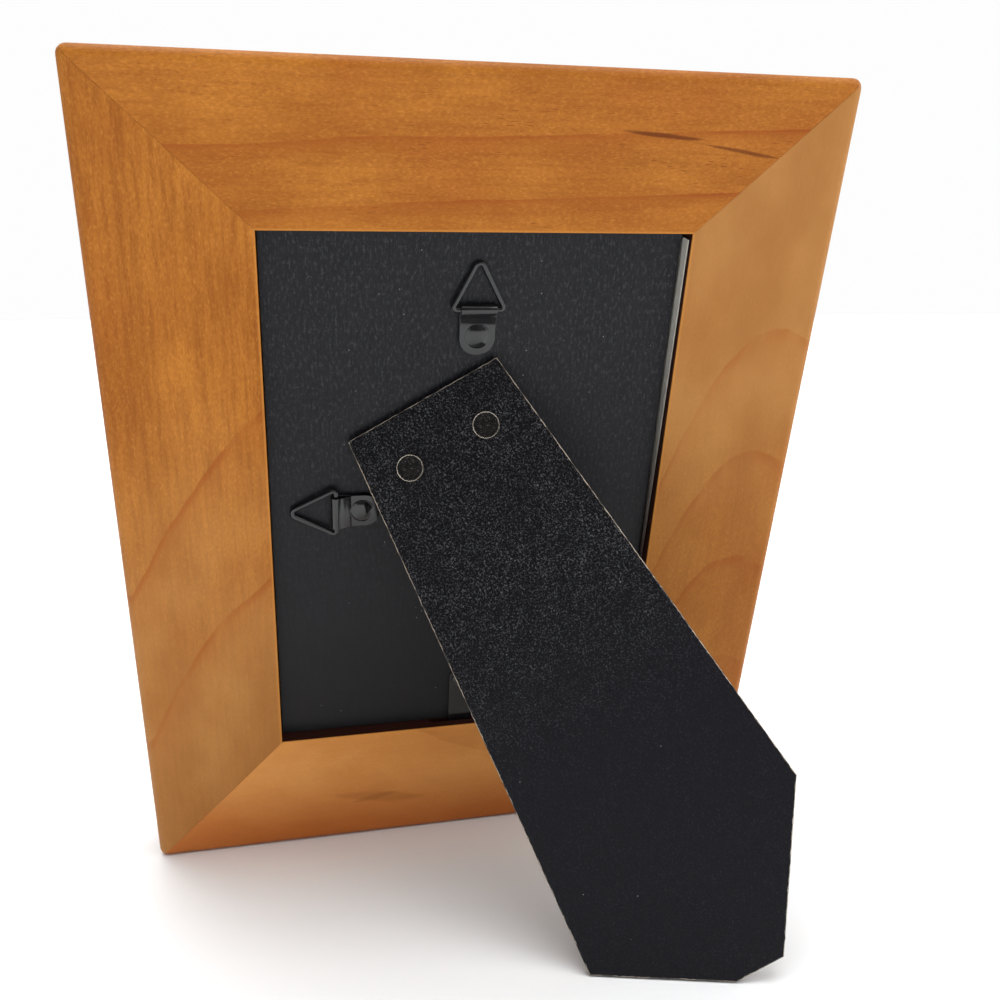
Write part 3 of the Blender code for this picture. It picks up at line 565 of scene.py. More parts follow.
def rounded(corners, steps=8):
    """The outline through (x, y, radius) corners, each one rounded to its radius."""
    outline = []
    for i, (x, y, radius) in enumerate(corners):
        corner = Vector((x, y))
        if not radius:
            outline.append(corner)
            continue
        before = (Vector(corners[i - 1][:2]) - corner).normalized()
        after = (Vector(corners[(i + 1) % len(corners)][:2]) - corner).normalized()
        half = before.angle(after) / 2
        centre = corner + (before + after).normalized() * radius / math.sin(half)
        start = corner + before * radius / math.tan(half) - centre
        stop = corner + after * radius / math.tan(half) - centre
        for k in range(steps + 1):
            spoke = start.lerp(stop, k / steps).normalized() * radius
            outline.append(centre + spoke)
    return outline


def outline_normals(outline):
    """Inward normals at a closed outline's points, lengthened at its corners."""
    area = sum(a.cross(b) for a, b in zip(outline, outline[1:] + outline[:1]))
    side = 1 if area > 0 else -1
    normals = []
    for i, point in enumerate(outline):
        before = (point - outline[i - 1]).normalized()
        after = (outline[(i + 1) % len(outline)] - point).normalized()
        one = Vector((-before.y, before.x)) * side
        two = Vector((-after.y, after.x)) * side
        both = (one + two).normalized()
        normals.append(both / max(0.5, both.dot(one)))
    return normals


def resampled(outline, spacing):
    """The outline with extra points, so that none are further apart than spacing."""
    points = []
    for one, other in zip(outline, outline[1:] + outline[:1]):
        count = max(1, math.ceil((other - one).length / spacing))
        points += [one.lerp(other, k / count) for k in range(count)]
    return points


def bridge(rings, count, closed=True):
    """Faces between rings of count points each, and the caps that close them."""
    faces = []
    for ring in range(rings - 1):
        for i in range(count):
            j = (i + 1) % count
            low, high = ring * count, (ring + 1) * count
            faces.append((low + i, low + j, high + j, high + i))
    if closed:
        faces.append(tuple(range(count)))
        faces.append(tuple(range((rings - 1) * count, rings * count)))
    return faces


def plate(outline, layers, ragged=0.0):
    """A flat piece: the X and Z outline, repeated at each (Y height, inset) layer."""
    normals = outline_normals(outline)
    points = []
    for height, inset in layers:
        for point, normal in zip(outline, normals):
            shift = inset
            if ragged and inset:
                shift += ragged * noise.noise(Vector((point.x, point.y, height)) * 0.9)
            moved = point + normal * shift
            points.append(Vector((moved.x, height, moved.y)))
    return points, bridge(len(layers), len(outline))


def soft_layers(low, high, edge):
    """Layers from one face to the other, with both edges rounded."""
    return [
        (low, edge),
        (low + edge * 0.3, edge * 0.3),
        (low + edge, 0),
        (high - edge, 0),
        (high - edge * 0.3, edge * 0.3),
        (high, edge),
    ]


def turned(profile, sides=72):
    """Points and faces of a profile of (radius, Y height), turned about Y."""
    points = []
    for radius, height in profile:
        radius = max(radius, 0.0005)
        for k in range(sides):
            x, z = polar(radius, k * math.tau / sides)
            points.append(Vector((x, height, z)))
    return points, bridge(len(profile), sides)


def tube(path, section, closed=True):
    """A section of (across, up) points swept along a path of (point, across, up)."""
    points = []
    for place, across, up in path:
        points += [place + across * a + up * b for a, b in section]
    count, rings = len(section), len(path)
    faces = bridge(rings, count, closed=not closed)
    if closed:
        last = (rings - 1) * count
        for i in range(count):
            j = (i + 1) % count
            faces.append((last + i, last + j, j, i))
    return points, faces


def joined(*shapes):
    """Several (points, faces) as one."""
    points, faces = [], []
    for more_points, more_faces in shapes:
        start = len(points)
        points += more_points
        faces += [tuple(start + i for i in face) for face in more_faces]
    return points, faces


# ---- rails


def back_height(out):
    return BACK_RISE * (1 - (1 - out / BACK_CREST) ** 2)


def front_depth(out):
    return -FACE_DEPTH - FRONT_RISE * (1 - (1 - out / FRONT_CREST) ** 2)


def rail_section():
    back = [(out, back_height(out), 0) for out in range(2, 41, 2)]
    front = [(out, front_depth(out), 0) for out in range(38, 3, -2)]
    corners = [(0, 0, 0.4)] + back
    corners += [(RAIL_WIDTH, back_height(RAIL_WIDTH), 3), (43, front_depth(43), 4)]
    corners += front
    corners += [
        (0.8, front_depth(0.8), 0),
        (-0.8, 1.1 - BEAD_DEPTH, 0),
        (-1.3, -BEAD_DEPTH, 0.8),
        (-LIP, -BEAD_DEPTH, 1.7),
        (-LIP, -LIP_BACK, 0),
        (0, -LIP_BACK, 0),
    ]
    return rounded(corners)


def rail_shape(half_length):
    """The rail's section run between two mitres. Their edges are eased, and the frame's
    outer corners are worn round."""
    outline = rail_section()
    normals = outline_normals(outline)
    points = []
    ends = [(0.012, 0.06), (0.05, 0.015), (0.12, 0)]  # back from the mitre, inset
    ends += [(0.4 * k, 0) for k in range(1, 9)]
    stations = [(-1, pull, inset) for pull, inset in ends]
    stations += [(1, pull, inset) for pull, inset in reversed(ends)]
    keep = RAIL_WIDTH - 3 * CORNER_RADIUS
    for side, pull, inset in stations:
        turn_share = max(0.0, 1 - pull / CORNER_RADIUS) * math.sqrt(0.5)
        lost = CORNER_RADIUS * (1 - math.sqrt(1 - turn_share**2))
        for point, normal in zip(outline, normals):
            moved = point + normal * inset
            out = moved.x
            if out > keep:
                share = (out - keep) / (RAIL_WIDTH - keep)
                out -= lost * share**3
            points.append(Vector((out, moved.y, side * (half_length + out - pull))))
    return points, bridge(len(stations), len(outline))


def cut(obj, matrix, *shapes):
    """Takes (points, faces) shapes in the piece's own axes out of it."""
    full = matrix @ Matrix.Scale(MM, 4)
    cutters = []
    for points, faces in shapes:
        mesh = cleaned("cutter", points, faces)
        mesh.transform(full)
        cutter = linked("cutter", mesh)
        cutters.append(cutter)
        modifier = obj.modifiers.new("cut", "BOOLEAN")
        modifier.operation = "DIFFERENCE"
        modifier.object = cutter
    graph = bpy.context.evaluated_depsgraph_get()
    obj.data = bpy.data.meshes.new_from_object(obj.evaluated_get(graph))
    obj.modifiers.clear()
    for cutter in cutters:
        bpy.data.objects.remove(cutter)
    back = full.inverted()
    obj.data.attributes.remove(obj.data.attributes["place"])
    keep_place(obj.data, back)
    shade(obj.data)
    return obj


# Streaks: two ends as (along, across), half the width, strength
RESIN = (((37, 28.8), (62.5, 27.0), 0.75, 0.85), ((61, 25.9), (88, 22.2), 0.6, 0.75))
PITH = (((47, 25), (12, 30), 2.4, 0.22), ((40, 29), (22, 26), 1.2, 0.2))
RAIL_LOOKS = {
    "left": dict(along=0.0172, out=0.0218, bend=0.0003, centre=24, start=0.166, contrast=0.72,
                 warp=0.11, width=0.075, streaks=0.40, flecks=0.6, shown=(0, 1), tint=0.7),
    "top": dict(along=-0.0026, out=0.051, bend=0, centre=22, start=0.495, contrast=1.0,
                warp=0.13, width=0.08, streaks=0.22, flecks=0.95, shown=(1, 2), tint=0,
                resin=RESIN),
    "right": dict(along=-0.024, out=0, bend=0.0013, centre=34, start=0.37, contrast=0.60,
                  warp=0.14, width=0.14, streaks=0.16, flecks=0.1, shown=(-4, 2), tint=0.8,
                  tint_top=0.2),
    # The bottom rail's gain and outer are painted light and shade: brighter all over to offset its
    # shade, and darker toward its outer edge.
    "bottom": dict(along=0.007, out=0.020, bend=0.0003, centre=22, start=0.7, contrast=0.5,
                   warp=0.2, width=0.14, streaks=0.20, flecks=0.3, shown=(1, 1), tint=0.55,
                   tint_top=0.55, painted_light_gain=2.0, outer=0.6, resin=PITH),
}


def rails():
    wide, high = OPENING[0] / 2, OPENING[1] / 2
    places = (
        ("left", 0, (wide, 0, 0), high),
        ("top", -90, (0, 0, high), wide),
        ("right", 180, (-wide, 0, 0), high),
        ("bottom", 90, (0, 0, -high), wide),
    )
    for name, degrees, where, half in places:
        matrix = UPRIGHT @ at(*where) @ turn(degrees, "Y")
        own = (f"wood_rail_{name}", rail_shape(half), matrix)
        look = wood(f"wood_{name}", **RAIL_LOOKS[name])
        rail = piece(*own, "frame", "stained_wood", [look], [f"rail_{name}"])
        if name == "bottom":
            kerf = [(0, -0.3), (CLIP_REACH + 0.6, -0.3), (CLIP_REACH + 0.6, 1.5), (0, 1.5)]
            points, faces = turned(list(reversed(kerf)), 96)
            swept = [Matrix.Translation((-CLIP_Z - high, BOARD_BACK, 0)) @ p for p in points]
            cut(rail, matrix, (swept, faces))


# ---- backing board


def backing_board():
    short = OPENING[0] / 2 - BOARD_SIDE_GAP
    x = OPENING[0] / 2 - GAP
    z = OPENING[1] / 2 - GAP
    near, far, reach = TONGUES
    tip = OPENING[1] / 2 + reach
    right = [(-near, z), (-near, tip), (-far, tip), (-far, z), (-short, z), (-short, -z)]
    left = [(x, -z), (x, z), (far, z), (far, tip), (near, tip), (near, z)]
    outline = rounded([(a, b, 0.35) for a, b in right + left], 3)
    layers = soft_layers(BOARD_BACK - BOARD_THICKNESS, BOARD_BACK, 0.22)
    own = ("backing_panel", plate(outline, layers), UPRIGHT, "frame", "black_board")
    piece(*own, [board_paper(), board_edge()], ["backing_board"])


# ---- rivets


def domed_head(radius, low, rise, edge=0.32):
    """A low dome with a rounded edge, from its crown to its underside."""
    curve = []
    for k in range(9):
        share = k / 8 * 0.93
        height = edge + (rise - edge) * math.sqrt(1 - share**2 * 0.96)
        curve.append((radius * share, low + height))
    last = curve[-1][1]
    curve += [(radius * 0.985, low + edge * 0.9 + (last - low - edge) * 0.35)]
    curve += [(radius, low + edge * 0.55), (radius, low + edge * 0.2), (radius * 0.99, low)]
    return curve


def rivet_tail(top):
    """The spread end behind the sheet."""
    spread = [(1.0, 0), (2.3, 0), (2.42, -0.12), (2.42, -0.45), (2.2, -0.6), (0, -0.6)]
    return [(radius, top + height) for radius, height in spread]


def rivet(name, matrix, body, slot, look, head, low, tail_top, node):
    profile = head + [(1.2, low)] + rivet_tail(tail_top)
    piece(name, turned(profile), matrix, body, slot, [look], [node])


# ---- hangers


def smoothed(points, steps=6):
    """A Catmull-Rom curve through the points."""
    ends = [points[0] * 2 - points[1]] + points + [points[-1] * 2 - points[-2]]
    curve = []
    for a, b, c, d in zip(ends, ends[1:], ends[2:], ends[3:]):
        for k in range(steps):
            t = k / steps
            near = b * 2 + (c - a) * t
            far = (a * 2 - b * 5 + c * 4 - d) * t**2 + (b * 3 - a - c * 3 + d) * t**3
            curve.append((near + far) / 2)
    return curve + [points[-1]]


def ribbon(path, thickness, half_width, middle=0.0, edge=0.18):
    """A strip bent along a path of (Y, Z) points. half_width gives its half width at
    each share of the path's length."""
    lengths = [0.0]
    for one, other in zip(path, path[1:]):
        lengths.append(lengths[-1] + (other - one).length)
    points = []
    for i, place in enumerate(path):
        ahead, behind = path[min(i + 1, len(path) - 1)], path[max(i - 1, 0)]
        along = (ahead - behind).normalized()
        up = Vector((0, -along.y, along.x))
        wide = half_width(lengths[i], lengths[-1])
        high = thickness / 2
        corners = [(-wide, -high), (wide, -high), (wide, high), (-wide, high)]
        for a, b in rounded([(a, b, edge) for a, b in corners], 3):
            points.append(Vector((middle + a, place.x, place.y)) + up * b)
    count = len(points) // len(path)
    return points, bridge(len(path), count)


def strap_width(travelled, whole):
    """Half of the strap's width, narrowing round its two ends."""
    near = min(travelled, whole - travelled)
    if near >= STRAP_CORNER:
        return STRAP_HALF
    sagitta = math.sqrt(STRAP_CORNER**2 - (STRAP_CORNER - near) ** 2)
    return STRAP_HALF - STRAP_CORNER + sagitta


def strap_path():
    """From the rivet's end up to the roll, round the wire and back down: (Y, Z) points."""
    front = [(-0.70, -14), (-0.70, -13.5), (-0.70, -12.6), (-0.70, -11.4), (-0.70, -10)]
    front += [(-0.70, -8), (-0.70, -6.2), (-0.66, -5.0)]
    front += [(-0.50, -4.3), (-0.22, -3.6), (0.10, -2.9), (0.42, -2.2), (0.74, -1.6), (1.02, -1.1)]
    points = [Vector(p) for p in front]
    for degrees in range(-20, 200, 20):
        points.append(Vector(polar(1.38, degrees * DEG)))
    back = [(-1.40, -0.8), (-1.40, -3), (-1.40, -9), (-1.40, -11.4), (-1.40, -13), (-1.40, -14)]
    return smoothed(points + [Vector(p) for p in back], 4)


def ring_path():
    corners = [(-RING_HALF, 0, 1.0), (RING_HALF, 0, 1.0), (0, RING_HEIGHT, 1.6)]
    outline = resampled(rounded(corners, 10), 2.0)
    normals = outline_normals(outline)
    out = Vector((0, 1, 0))
    path = []
    for point, normal in zip(outline, normals):
        across = Vector((normal.x, 0, normal.y)).normalized()
        path.append((Vector((point.x, 0, point.y)), across, out))
    return path


def wire_section(radius=0.8, power=2.15, count=20):
    """A drawn wire's section, a little squared."""
    section = [polar(1, k * math.tau / count) for k in range(count)]
    return [[radius * math.copysign(abs(c) ** (2 / power), c) for c in spoke] for spoke in section]


def hanger(name, x, z, degrees, enamel):
    axis = UPRIGHT @ at(x, BOARD_BACK + HANGER_LIFT, z) @ turn(degrees, "Y")
    strip = ribbon(strap_path(), 0.66, strap_width)
    steel = ("japanned_steel", [enamel])
    piece(f"{name}_folded_strap", strip, axis, "frame", *steel, [f"{name}_strap"])
    body = f"ring_{name.split('_')[1]}"
    loop = tube(ring_path(), wire_section())
    tilted = axis @ turn(RING_REST, "X")
    piece(f"{name}_wire", loop, tilted, body, *steel, [f"{name}_ring"])
    spot = axis @ at(0, 0, -STRAP_RIVET)
    low = -0.40
    own = (f"{name}_stud", spot, "frame", "japanned_steel", enamel)
    rivet(*own, hanger_head(low), low, -3.8, f"{name}_rivet")


def hanger_head(low):
    """A pressed stud: a shallow dome in a fine groove."""
    head = [(r, 0.10 + 1.0 * (1 - (r / 3.45) ** 2)) for r in (0, 0.7, 1.4, 2.0, 2.6, 3.0, 3.25)]
    head += [(3.38, 0.15), (3.50, 0.20), (3.66, 0.28), (3.80, 0.2), (3.85, 0)]
    return [(radius, low + height) for radius, height in head]


# ---- turn clip


def turn_clip(enamel):
    spot = UPRIGHT @ at(0, BOARD_BACK, CLIP_Z)
    half = CLIP_WIDTH / 2
    ends = [(-half, -CLIP_REACH), (half, -CLIP_REACH), (half, half + 1), (-half, half + 1)]
    outline = rounded([(x, z, 0.98 * half) for x, z in ends], 12)
    layers = soft_layers(GAP - 0.2, GAP + CLIP_THICKNESS, 0.2)
    tab = plate(outline, layers)
    piece("turn_clip_tab", tab, spot, "clip", "japanned_steel", [enamel], ["turn_clip"])
    low = 1.12
    own = ("turn_clip_stud", spot, "frame", "japanned_steel", enamel)
    rivet(*own, domed_head(3.2, low, 1.05), low, -1.8, "turn_clip_rivet")


# ---- easel leg and hinge


def leg_outline():
    """The leg's corners, (across, up from the pin), with both feet flat on the floor."""
    tilt = math.sin(LEG_OPEN) * math.tan(LEAN)
    slant = HINGE_SLANT
    portrait = math.sin(slant) / (math.cos(slant) * math.cos(LEG_OPEN) + tilt)
    landscape = (math.sin(slant) * math.cos(LEG_OPEN) + tilt) / math.cos(slant)
    foot, knee, length = LEG_FOOT, LEG_KNEE, LEG_LENGTH
    corners = [
        (LEG_TOP_HALF, 0),
        (-LEG_TOP_HALF, 0),
        knee,
        (knee[0] + (length - knee[1]) * landscape, length),
        (foot[0] - (length - foot[1]) / portrait, length),
        foot,
    ]
    return rounded([(x, LEG_ABOVE_PIN - down, 0.4) for x, down in corners], 3)


def easel_leg():
    outline = resampled(leg_outline(), 0.6)
    top = LEG_LIFT + LEG_THICKNESS
    layers = [
        (LEG_LIFT, 0.16),
        (LEG_LIFT + 0.12, 0),
        (top - 0.24, 0),
        (top - 0.10, 0.08),
        (top, 0.27),
    ]
    own = ("leg_panel", plate(outline, layers, ragged=0.22), LEG_FRAME, "leg", "leatherette")
    piece(*own, [leather_paper(), leg_edge()], ["easel_leg"])


def leg_rivets():
    face = LEG_LIFT + LEG_THICKNESS
    brass = worn_brass()
    rise = [(0, 0.62), (1.2, 0.63), (2.4, 0.66), (3.3, 0.70), (3.78, 0.74), (3.88, 0.82)]
    rise += [(3.98, 0.90), (4.08, 0.88), (4.13, 0.78), (4.15, 0.62), (4.15, 0.1), (4.12, 0.02)]
    head = [(radius, face + height) for radius, height in rise]
    for side, x in (("right", -LEG_RIVET_ACROSS), ("left", LEG_RIVET_ACROSS)):
        spot = LEG_FRAME @ at(x, 0, LEG_ABOVE_PIN - LEG_RIVET_DOWN)
        names = (f"leg_stud_{side}", f"leg_rivet_{side}")
        rivet(names[0], spot, "leg", "rivet_brass", brass, head, face, 0.6, names[1])


def rolled(start, stop, plate_middle):
    """A leaf's knuckle: its sheet rolled round the pin, from one X to another."""
    side = math.copysign(1, plate_middle)
    path = [Vector((plate_middle, -2.25)), Vector((plate_middle * 0.97, -1.6))]
    for degrees in range(-32, 255, 14):
        out, up = polar(1.2, degrees * DEG)
        path.append(Vector((side * out, up)))
    half = (stop - start) / 2
    return ribbon(path, 0.78, lambda travelled, whole: half, (start + stop) / 2, 0.12)


def leaf_plate(low):
    half = LEAF_WIDTH / 2
    corners = [(-half, -LEAF_LENGTH, 2.5), (half, -LEAF_LENGTH, 2.5)]
    corners += [(half, -2.2, 0.2), (-half, -2.2, 0.2)]
    return plate(rounded(corners, 6), soft_layers(low, low + LEAF_THICKNESS, 0.14))


def hinge():
    steel = plain_steel()
    half = LEAF_WIDTH / 2
    low = GAP - PIN_LIFT
    middle = low + LEAF_THICKNESS / 2
    outer = [rolled(-half, -KNUCKLE_HALF - GAP, middle), rolled(KNUCKLE_HALF + GAP, half, middle)]
    shape = joined(leaf_plate(low), *outer)
    looks = ("japanned_steel", [steel])
    piece("hinge_board_leaf", shape, HINGE_FRAME, "frame", *looks, ["hinge_leaf_board"])
    low = LEG_LIFT - GAP - LEAF_THICKNESS
    shape = joined(leaf_plate(low), rolled(-KNUCKLE_HALF, KNUCKLE_HALF, low + LEAF_THICKNESS / 2))
    piece("hinge_leg_leaf", shape, LEG_FRAME, "leg", *looks, ["hinge_leaf_leg"])
    end = half + GAP
    tip = [(0, 0.7), (0.8, 0.66), (1.15, 0.5), (1.3, 0.25), (1.3, 0), (0.8, 0)]
    pin = [(radius, end + height) for radius, height in tip]
    pin += [(radius, -height) for radius, height in reversed(pin)]
    lying = HINGE_FRAME @ turn(-90, "Z")
    piece("hinge_pin_headed", turned(pin, 32), lying, "frame", *looks, ["hinge_pin"])
    head = domed_head(2.8, -1.12, 1.2)
    for side, x in (("right", -BOARD_RIVET_ACROSS), ("left", BOARD_RIVET_ACROSS)):
        spot = HINGE_FRAME @ at(x, 0, -BOARD_RIVET_DOWN)
        names = (f"board_stud_{side}", f"board_rivet_{side}")
        rivet(names[0], spot, "frame", "japanned_steel", steel, head, -1.12, -3.9, names[1])


# ---- front: mat, coins, glazing


def coin_places():
    for row in range(COIN_ROWS):
        for column in range(COIN_COLUMNS):
            x = (column - (COIN_COLUMNS - 1) / 2) * COIN_SPACING
            yield -x, ((COIN_ROWS - 1) / 2 - row) * COIN_SPACING


def sheet_outline(radius=0.3):
    x, z = OPENING[0] / 2 - GAP, OPENING[1] / 2 - GAP
    return rounded([(-x, -z, radius), (x, -z, radius), (x, z, radius), (-x, z, radius)], 3)


def filler_sheet():
    """The pulp sheet under the board. It is folded up along the board's short side."""
    look = Look("filler_pulp")
    _, _, height = look.parts(look.place)
    fibre = look.noise(0.4, (1, 1, 1), 4, 3)
    pale = look.mix(fibre, rgb(0.42, 0.40, 0.35), rgb(0.56, 0.54, 0.49))
    # Painted shade: darker and browner toward the bottom, where the pale pulp is in shade.
    painted_shade_tone = look.mix(fibre, rgb(0.035, 0.014, 0.012), rgb(0.06, 0.03, 0.026))
    cloud = (look.noise(14, (1, 1, 2), 2, 6) - 0.5) * 26
    unshaded_share = look.step(height + cloud, -42, 62)
    color = look.mix(unshaded_share, painted_shade_tone, pale)
    material = look.finish(color, 0.8, look.bump(fibre, 0.04, 0.6))
    flat = plate(sheet_outline(), soft_layers(-9.3, -7.3, 0.1))
    wall = -OPENING[0] / 2 + 0.36
    flap = []
    for z, top in ((-87, -4.6), (-44, -3.8), (0, -2.95), (43, -2.1), (87, -1.3)):
        for x, y in ((wall, -8.5), (wall + 0.5, -8.5), (wall + 0.44, top), (wall + 0.06, top)):
            flap.append(Vector((x, y, z)))
    shape = joined(flat, (flap, bridge(5, 4)))
    piece("filler_sheet", shape, UPRIGHT, "frame", "filler_card", [material], ["filler_board"])


def window_mat():
    layers = soft_layers(MAT_BACK - MAT_THICKNESS, MAT_BACK, 0.05)
    looks = [
        card("mat_face", rgb(0.86, 0.82, 0.73), rgb(0.77, 0.73, 0.64)),
        card("mat_core", rgb(0.93, 0.92, 0.88), rgb(0.86, 0.85, 0.81)),
    ]
    own = ("window_mat", plate(sheet_outline(), layers), UPRIGHT, "frame", "mat_card")
    mat = piece(*own, looks, ["mat"])
    slope = WINDOW_BEVEL / MAT_THICKNESS
    over = 0.5
    windows = []
    for x, z in coin_places():
        high, low = MAT_BACK + over, MAT_BACK - MAT_THICKNESS - over
        wide = WINDOW_RADIUS + (MAT_THICKNESS + over) * slope
        profile = [(0, high), (WINDOW_RADIUS - over * slope, high), (wide, low), (0, low)]
        points, faces = turned(profile, 128)
        windows.append(([p + Vector((x, 0, z)) for p in points], faces))
    cut(mat, UPRIGHT, *windows)
    straight = UPRIGHT.to_3x3() @ Vector((0, 1, 0))
    for face in mat.data.polygons:
        face.material_index = int(abs(face.normal.dot(straight)) < 0.95)


def star(x, y, count, outer, inner, rotate=0.0):
    """Height from 0 to 1 of a faceted star at a point."""
    radius = math.hypot(x, y)
    wedge = math.pi / count
    angle = abs((math.atan2(x, y) + rotate + wedge) % (2 * wedge) - wedge)
    tip = Vector((outer, 0))
    notch, ray = Vector(polar(inner, wedge)), Vector(polar(1, angle))
    edge = notch - tip
    reach = tip.cross(edge) / ray.cross(edge)
    return max(0.0, 1 - radius / reach) if reach > 0 else 0.0


def leaf_form(x, y, place, angle, length, width):
    """Height from 0 to 1 of a leaf with a sunk midrib."""
    dx, dy = x - place[0], y - place[1]
    u = (dx * math.cos(angle) + dy * math.sin(angle)) / length + 0.5
    v = -dx * math.sin(angle) + dy * math.cos(angle)
    if not 0 < u < 1:
        return 0.0
    half = width * math.sin(math.pi * u**0.8) ** 0.9
    if abs(v) >= half or half <= 0:
        return 0.0
    rib = 1 - 0.45 * math.exp(-((v / (0.09 * width + 0.05)) ** 2))
    return (1 - (v / half) ** 2) ** 0.5 * rib


def dome(off, size):
    """Height from 0 to 1 of a round form, so far off its middle."""
    return math.sqrt(max(0.0, 1 - (off / size) ** 2))


def beads(x, y, radius, count, ring, size):
    spacing = math.tau / count
    angle = (math.atan2(y, x) + spacing / 2) % spacing - spacing / 2
    return dome(math.hypot(radius - ring, ring * angle), size)


def relief_star(x, y, r):
    high = max(star(x, y, 8, 11.5, 4.6), 0.8 * star(x, y, 8, 7.8, 4, math.pi / 8))
    return max(high, 0.5 * dome(r - 13.4, 0.35))


def relief_wreath(x, y, r):
    high = star(x, y, 5, 5.4, 2.2)
    for k in range(22):
        turned_by = math.tau * (k + 0.5) / 22
        for radius, lean in ((11.4, 0.55), (13.1, -0.35)):
            spot = (radius * math.sin(turned_by), radius * math.cos(turned_by))
            angle = -turned_by + (lean if k < 11 else math.pi - lean)
            high = max(high, 0.85 * leaf_form(x, y, spot, angle, 4.4, 0.85))
    return high


def relief_compass(x, y, r):
    high = max(star(x, y, 4, 13.2, 2.6), 0.75 * star(x, y, 4, 8.6, 2.6, math.pi / 4))
    return max(high, 0.45 * dome(r - 9.9, 0.3), 0.35 * dome(r - 11.0, 0.2))


def relief_sun(x, y, r):
    rays = star(x, y, 16, 13.6, 6.2) if r > 5.8 else 0.0
    return max(0.9 * dome(r, 5.2), rays, 0.4 * dome(r - 5.5, 0.28))


def relief_rosette(x, y, r):
    high = 0.8 * dome(r, 2.1)
    for k in range(8):
        angle = math.tau * k / 8
        high = max(high, 0.95 * leaf_form(x, y, polar(5.0, angle), angle, 6.2, 1.9))
        angle += math.tau / 16
        high = max(high, 0.75 * leaf_form(x, y, polar(9.6, angle), angle, 7.4, 2.2))
    return high


def relief_branch(x, y, r):
    stem = 0.5 * max(0.0, 1 - (x / 0.45) ** 2) if -12.5 < y < 10 else 0.0
    high = max(stem, leaf_form(x, y, (0, 10.2), math.pi / 2, 6.5, 1.6))
    for k in range(6):
        level = -9 + k * 3.3
        reach = 3.9 - 0.25 * abs(k - 2)
        for side in (-1, 1):
            angle = math.pi / 2 - side * 0.85
            spot = (side * reach * 0.95, level + 2.0)
            high = max(high, 0.9 * leaf_form(x, y, spot, angle, 2 * reach, 1.35))
    return high


def coin_shape(relief):
    """A coin with its relief on top and a reeded edge. Its own top is toward +Z."""
    sides = 288
    half = COIN_THICKNESS / 2
    field = half - 0.35
    radii = [0.02] + [0.3 * k for k in range(1, 59)]
    rim = [(17.55, field), (17.62, field + 0.06), (17.72, half - 0.04), (17.82, half)]
    rim += [(18.72, half)]
    rim += [(18.9, half - 0.05), (19.0, half - 0.16), (19.04, half - 0.3)]
    under = [(radius, -height) for radius, height in reversed(rim)] + [(0.02, -field)]
    points = []
    for radius in radii:
        for k in range(sides):
            x, y = polar(radius, k * math.tau / sides)
            high = max(relief(x, y, radius), 0.55 * beads(x, y, radius, 48, 16.0, 0.62))
            points.append(Vector((x, y, field + 0.33 * high)))
    for radius, height in rim + under:
        for k in range(sides):
            reed = 0.09 if radius > 18.98 and k % 3 == 0 else 0.0
            points.append(Vector((*polar(radius - reed, k * math.tau / sides), height)))
    return points, bridge(len(points) // sides, sides)


def coins():
    struck = silver()
    designs = (relief_star, relief_wreath, relief_compass)
    designs += (relief_sun, relief_rosette, relief_branch)
    for number, ((x, z), relief) in enumerate(zip(coin_places(), designs), 1):
        spot = UPRIGHT @ at(x, COIN_MIDDLE, z) @ turn(90, "X")
        own = (f"struck_coin_{number}", coin_shape(relief), spot)
        piece(*own, "frame", "coin_silver", [struck], [f"coin_{number}"])


def glazing():
    layers = soft_layers(GLAZING_BACK - GLAZING_THICKNESS, GLAZING_BACK, 0.25)
    own = ("clear_pane", plate(sheet_outline(0.6), layers), UPRIGHT)
    piece(*own, "frame", "glass", [glass()], ["glazing"])


def carried_over():
    """The CAD solids that stay as they are, with better materials."""
    splines = [f"corner_spline_{number}" for number in range(1, 5)]
    kept = {"coin_tray": felt(), **dict.fromkeys(splines, beech())}
    for name, look in kept.items():
        mesh = frame["nodes"][name].data
        mesh.materials.clear()
        mesh.materials.append(look)


# ---- stage


def stage():
    shape = bmesh.new()
    bmesh.ops.create_circle(shape, cap_ends=True, segments=96, radius=12)
    mesh = bpy.data.meshes.new("floor")
    shape.to_mesh(mesh)
    shape.free()
    floor = linked("floor", mesh)
    look = Look("floor_paper", own_place=False)
    tone = look.noise(240, (1, 1, 1), 2, 3)
    color = look.mix(tone, rgb(0.86, 0.86, 0.86), rgb(0.88, 0.88, 0.875))
    mesh.materials.append(look.finish(color, 0.9))

    studio_world()
    bpy.context.scene.view_settings.view_transform = "Standard"
    lamp("key_sun", 0.75, (0.68, -0.45, -0.60))
    lamp("fill_sun", 0.62, (0.15, -0.95, -0.10), mirrored=False)
    lamp("front_sun", 0.8, (-0.35, 0.75, -0.62))


def lamp(name, energy, toward, mirrored=True):
    sun = bpy.data.lights.new(name, "SUN")
    sun.energy = energy
    sun.angle = 45 * DEG
    sun.color = (1, 0.985, 0.96)
    obj = linked(name, sun)
    obj.rotation_euler = Vector(toward).to_track_quat("-Z", "Y").to_euler()
    obj.visible_glossy = mirrored


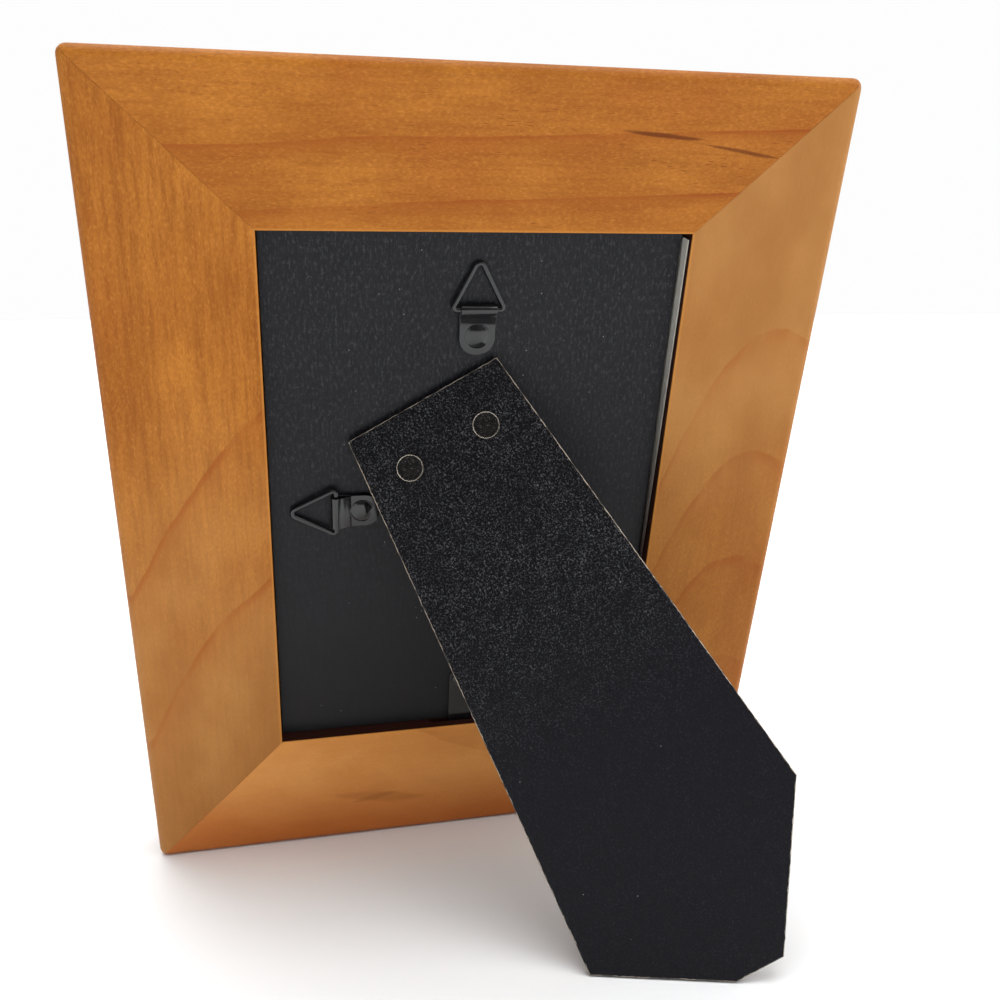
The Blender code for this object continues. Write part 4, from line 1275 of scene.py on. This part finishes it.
def studio_world():
    """A white surround to look at. For light, a softbox overhead, a window to one side
    and a dark room past the back."""
    world = bpy.data.worlds.new("studio")
    world.use_nodes = True
    sky = Graph(world.node_tree)
    x, y, z = sky.parts(sky.node("ShaderNodeTexCoord").outputs["Generated"])
    overhead, window = sky.step(z, 0.0, 0.9, 0.38, 0.70), sky.step(x, -0.95, 0.1, 0.82, 0.0)
    open_sky = overhead + window + sky.step(z, 0.88, 0.97, 0.0, 5.0)
    room = sky.math("MAXIMUM", sky.step(y, 0.1, 0.7, 1.0, 0.22), sky.step(z, 0.5, 0.9))
    lit = sky.node("ShaderNodeBackground")
    lit.inputs["Color"].default_value = rgb(0.96, 0.98, 1.0)
    sky.feed(lit.inputs["Strength"], open_sky * room)
    seen = sky.tree.nodes["Background"]
    seen.inputs["Color"].default_value = rgb(0.985, 0.985, 0.985)
    blend = sky.node("ShaderNodeMixShader")
    looking = sky.node("ShaderNodeLightPath").outputs["Is Camera Ray"]
    sky.fill(blend.inputs, looking, lit.outputs[0], seen.outputs[0])
    sky.feed(sky.tree.nodes["World Output"].inputs[0], blend.outputs[0])
    bpy.context.scene.world = world


def camera():
    place = Vector((61.6, 283.85, 153.24)) * MM
    forward = Vector((-0.21622, -0.86273, -0.4571))
    up = Vector((-0.04916, -0.45796, 0.88761))
    forward.normalize()
    right = forward.cross(up).normalized()
    up = right.cross(forward)
    data = bpy.data.cameras.new("camera")
    data.sensor_width = 36
    data.lens = 36.43
    data.clip_start = 0.005
    obj = linked("camera", data)
    basis = Matrix((right, up, -forward)).transposed().to_4x4()
    obj.matrix_world = UPRIGHT @ Matrix.Translation(place) @ basis
    bpy.context.scene.camera = obj


stage()
camera()
rails()
backing_board()
enamel = japanned()
hanger("hanger_top", 0, HANGER_TOP_Z, 0, enamel)
hanger("hanger_side", HANGER_SIDE_X, 0, 90, enamel)
turn_clip(enamel)
easel_leg()
leg_rivets()
hinge()
filler_sheet()
window_mat()
coins()
glazing()
carried_over()
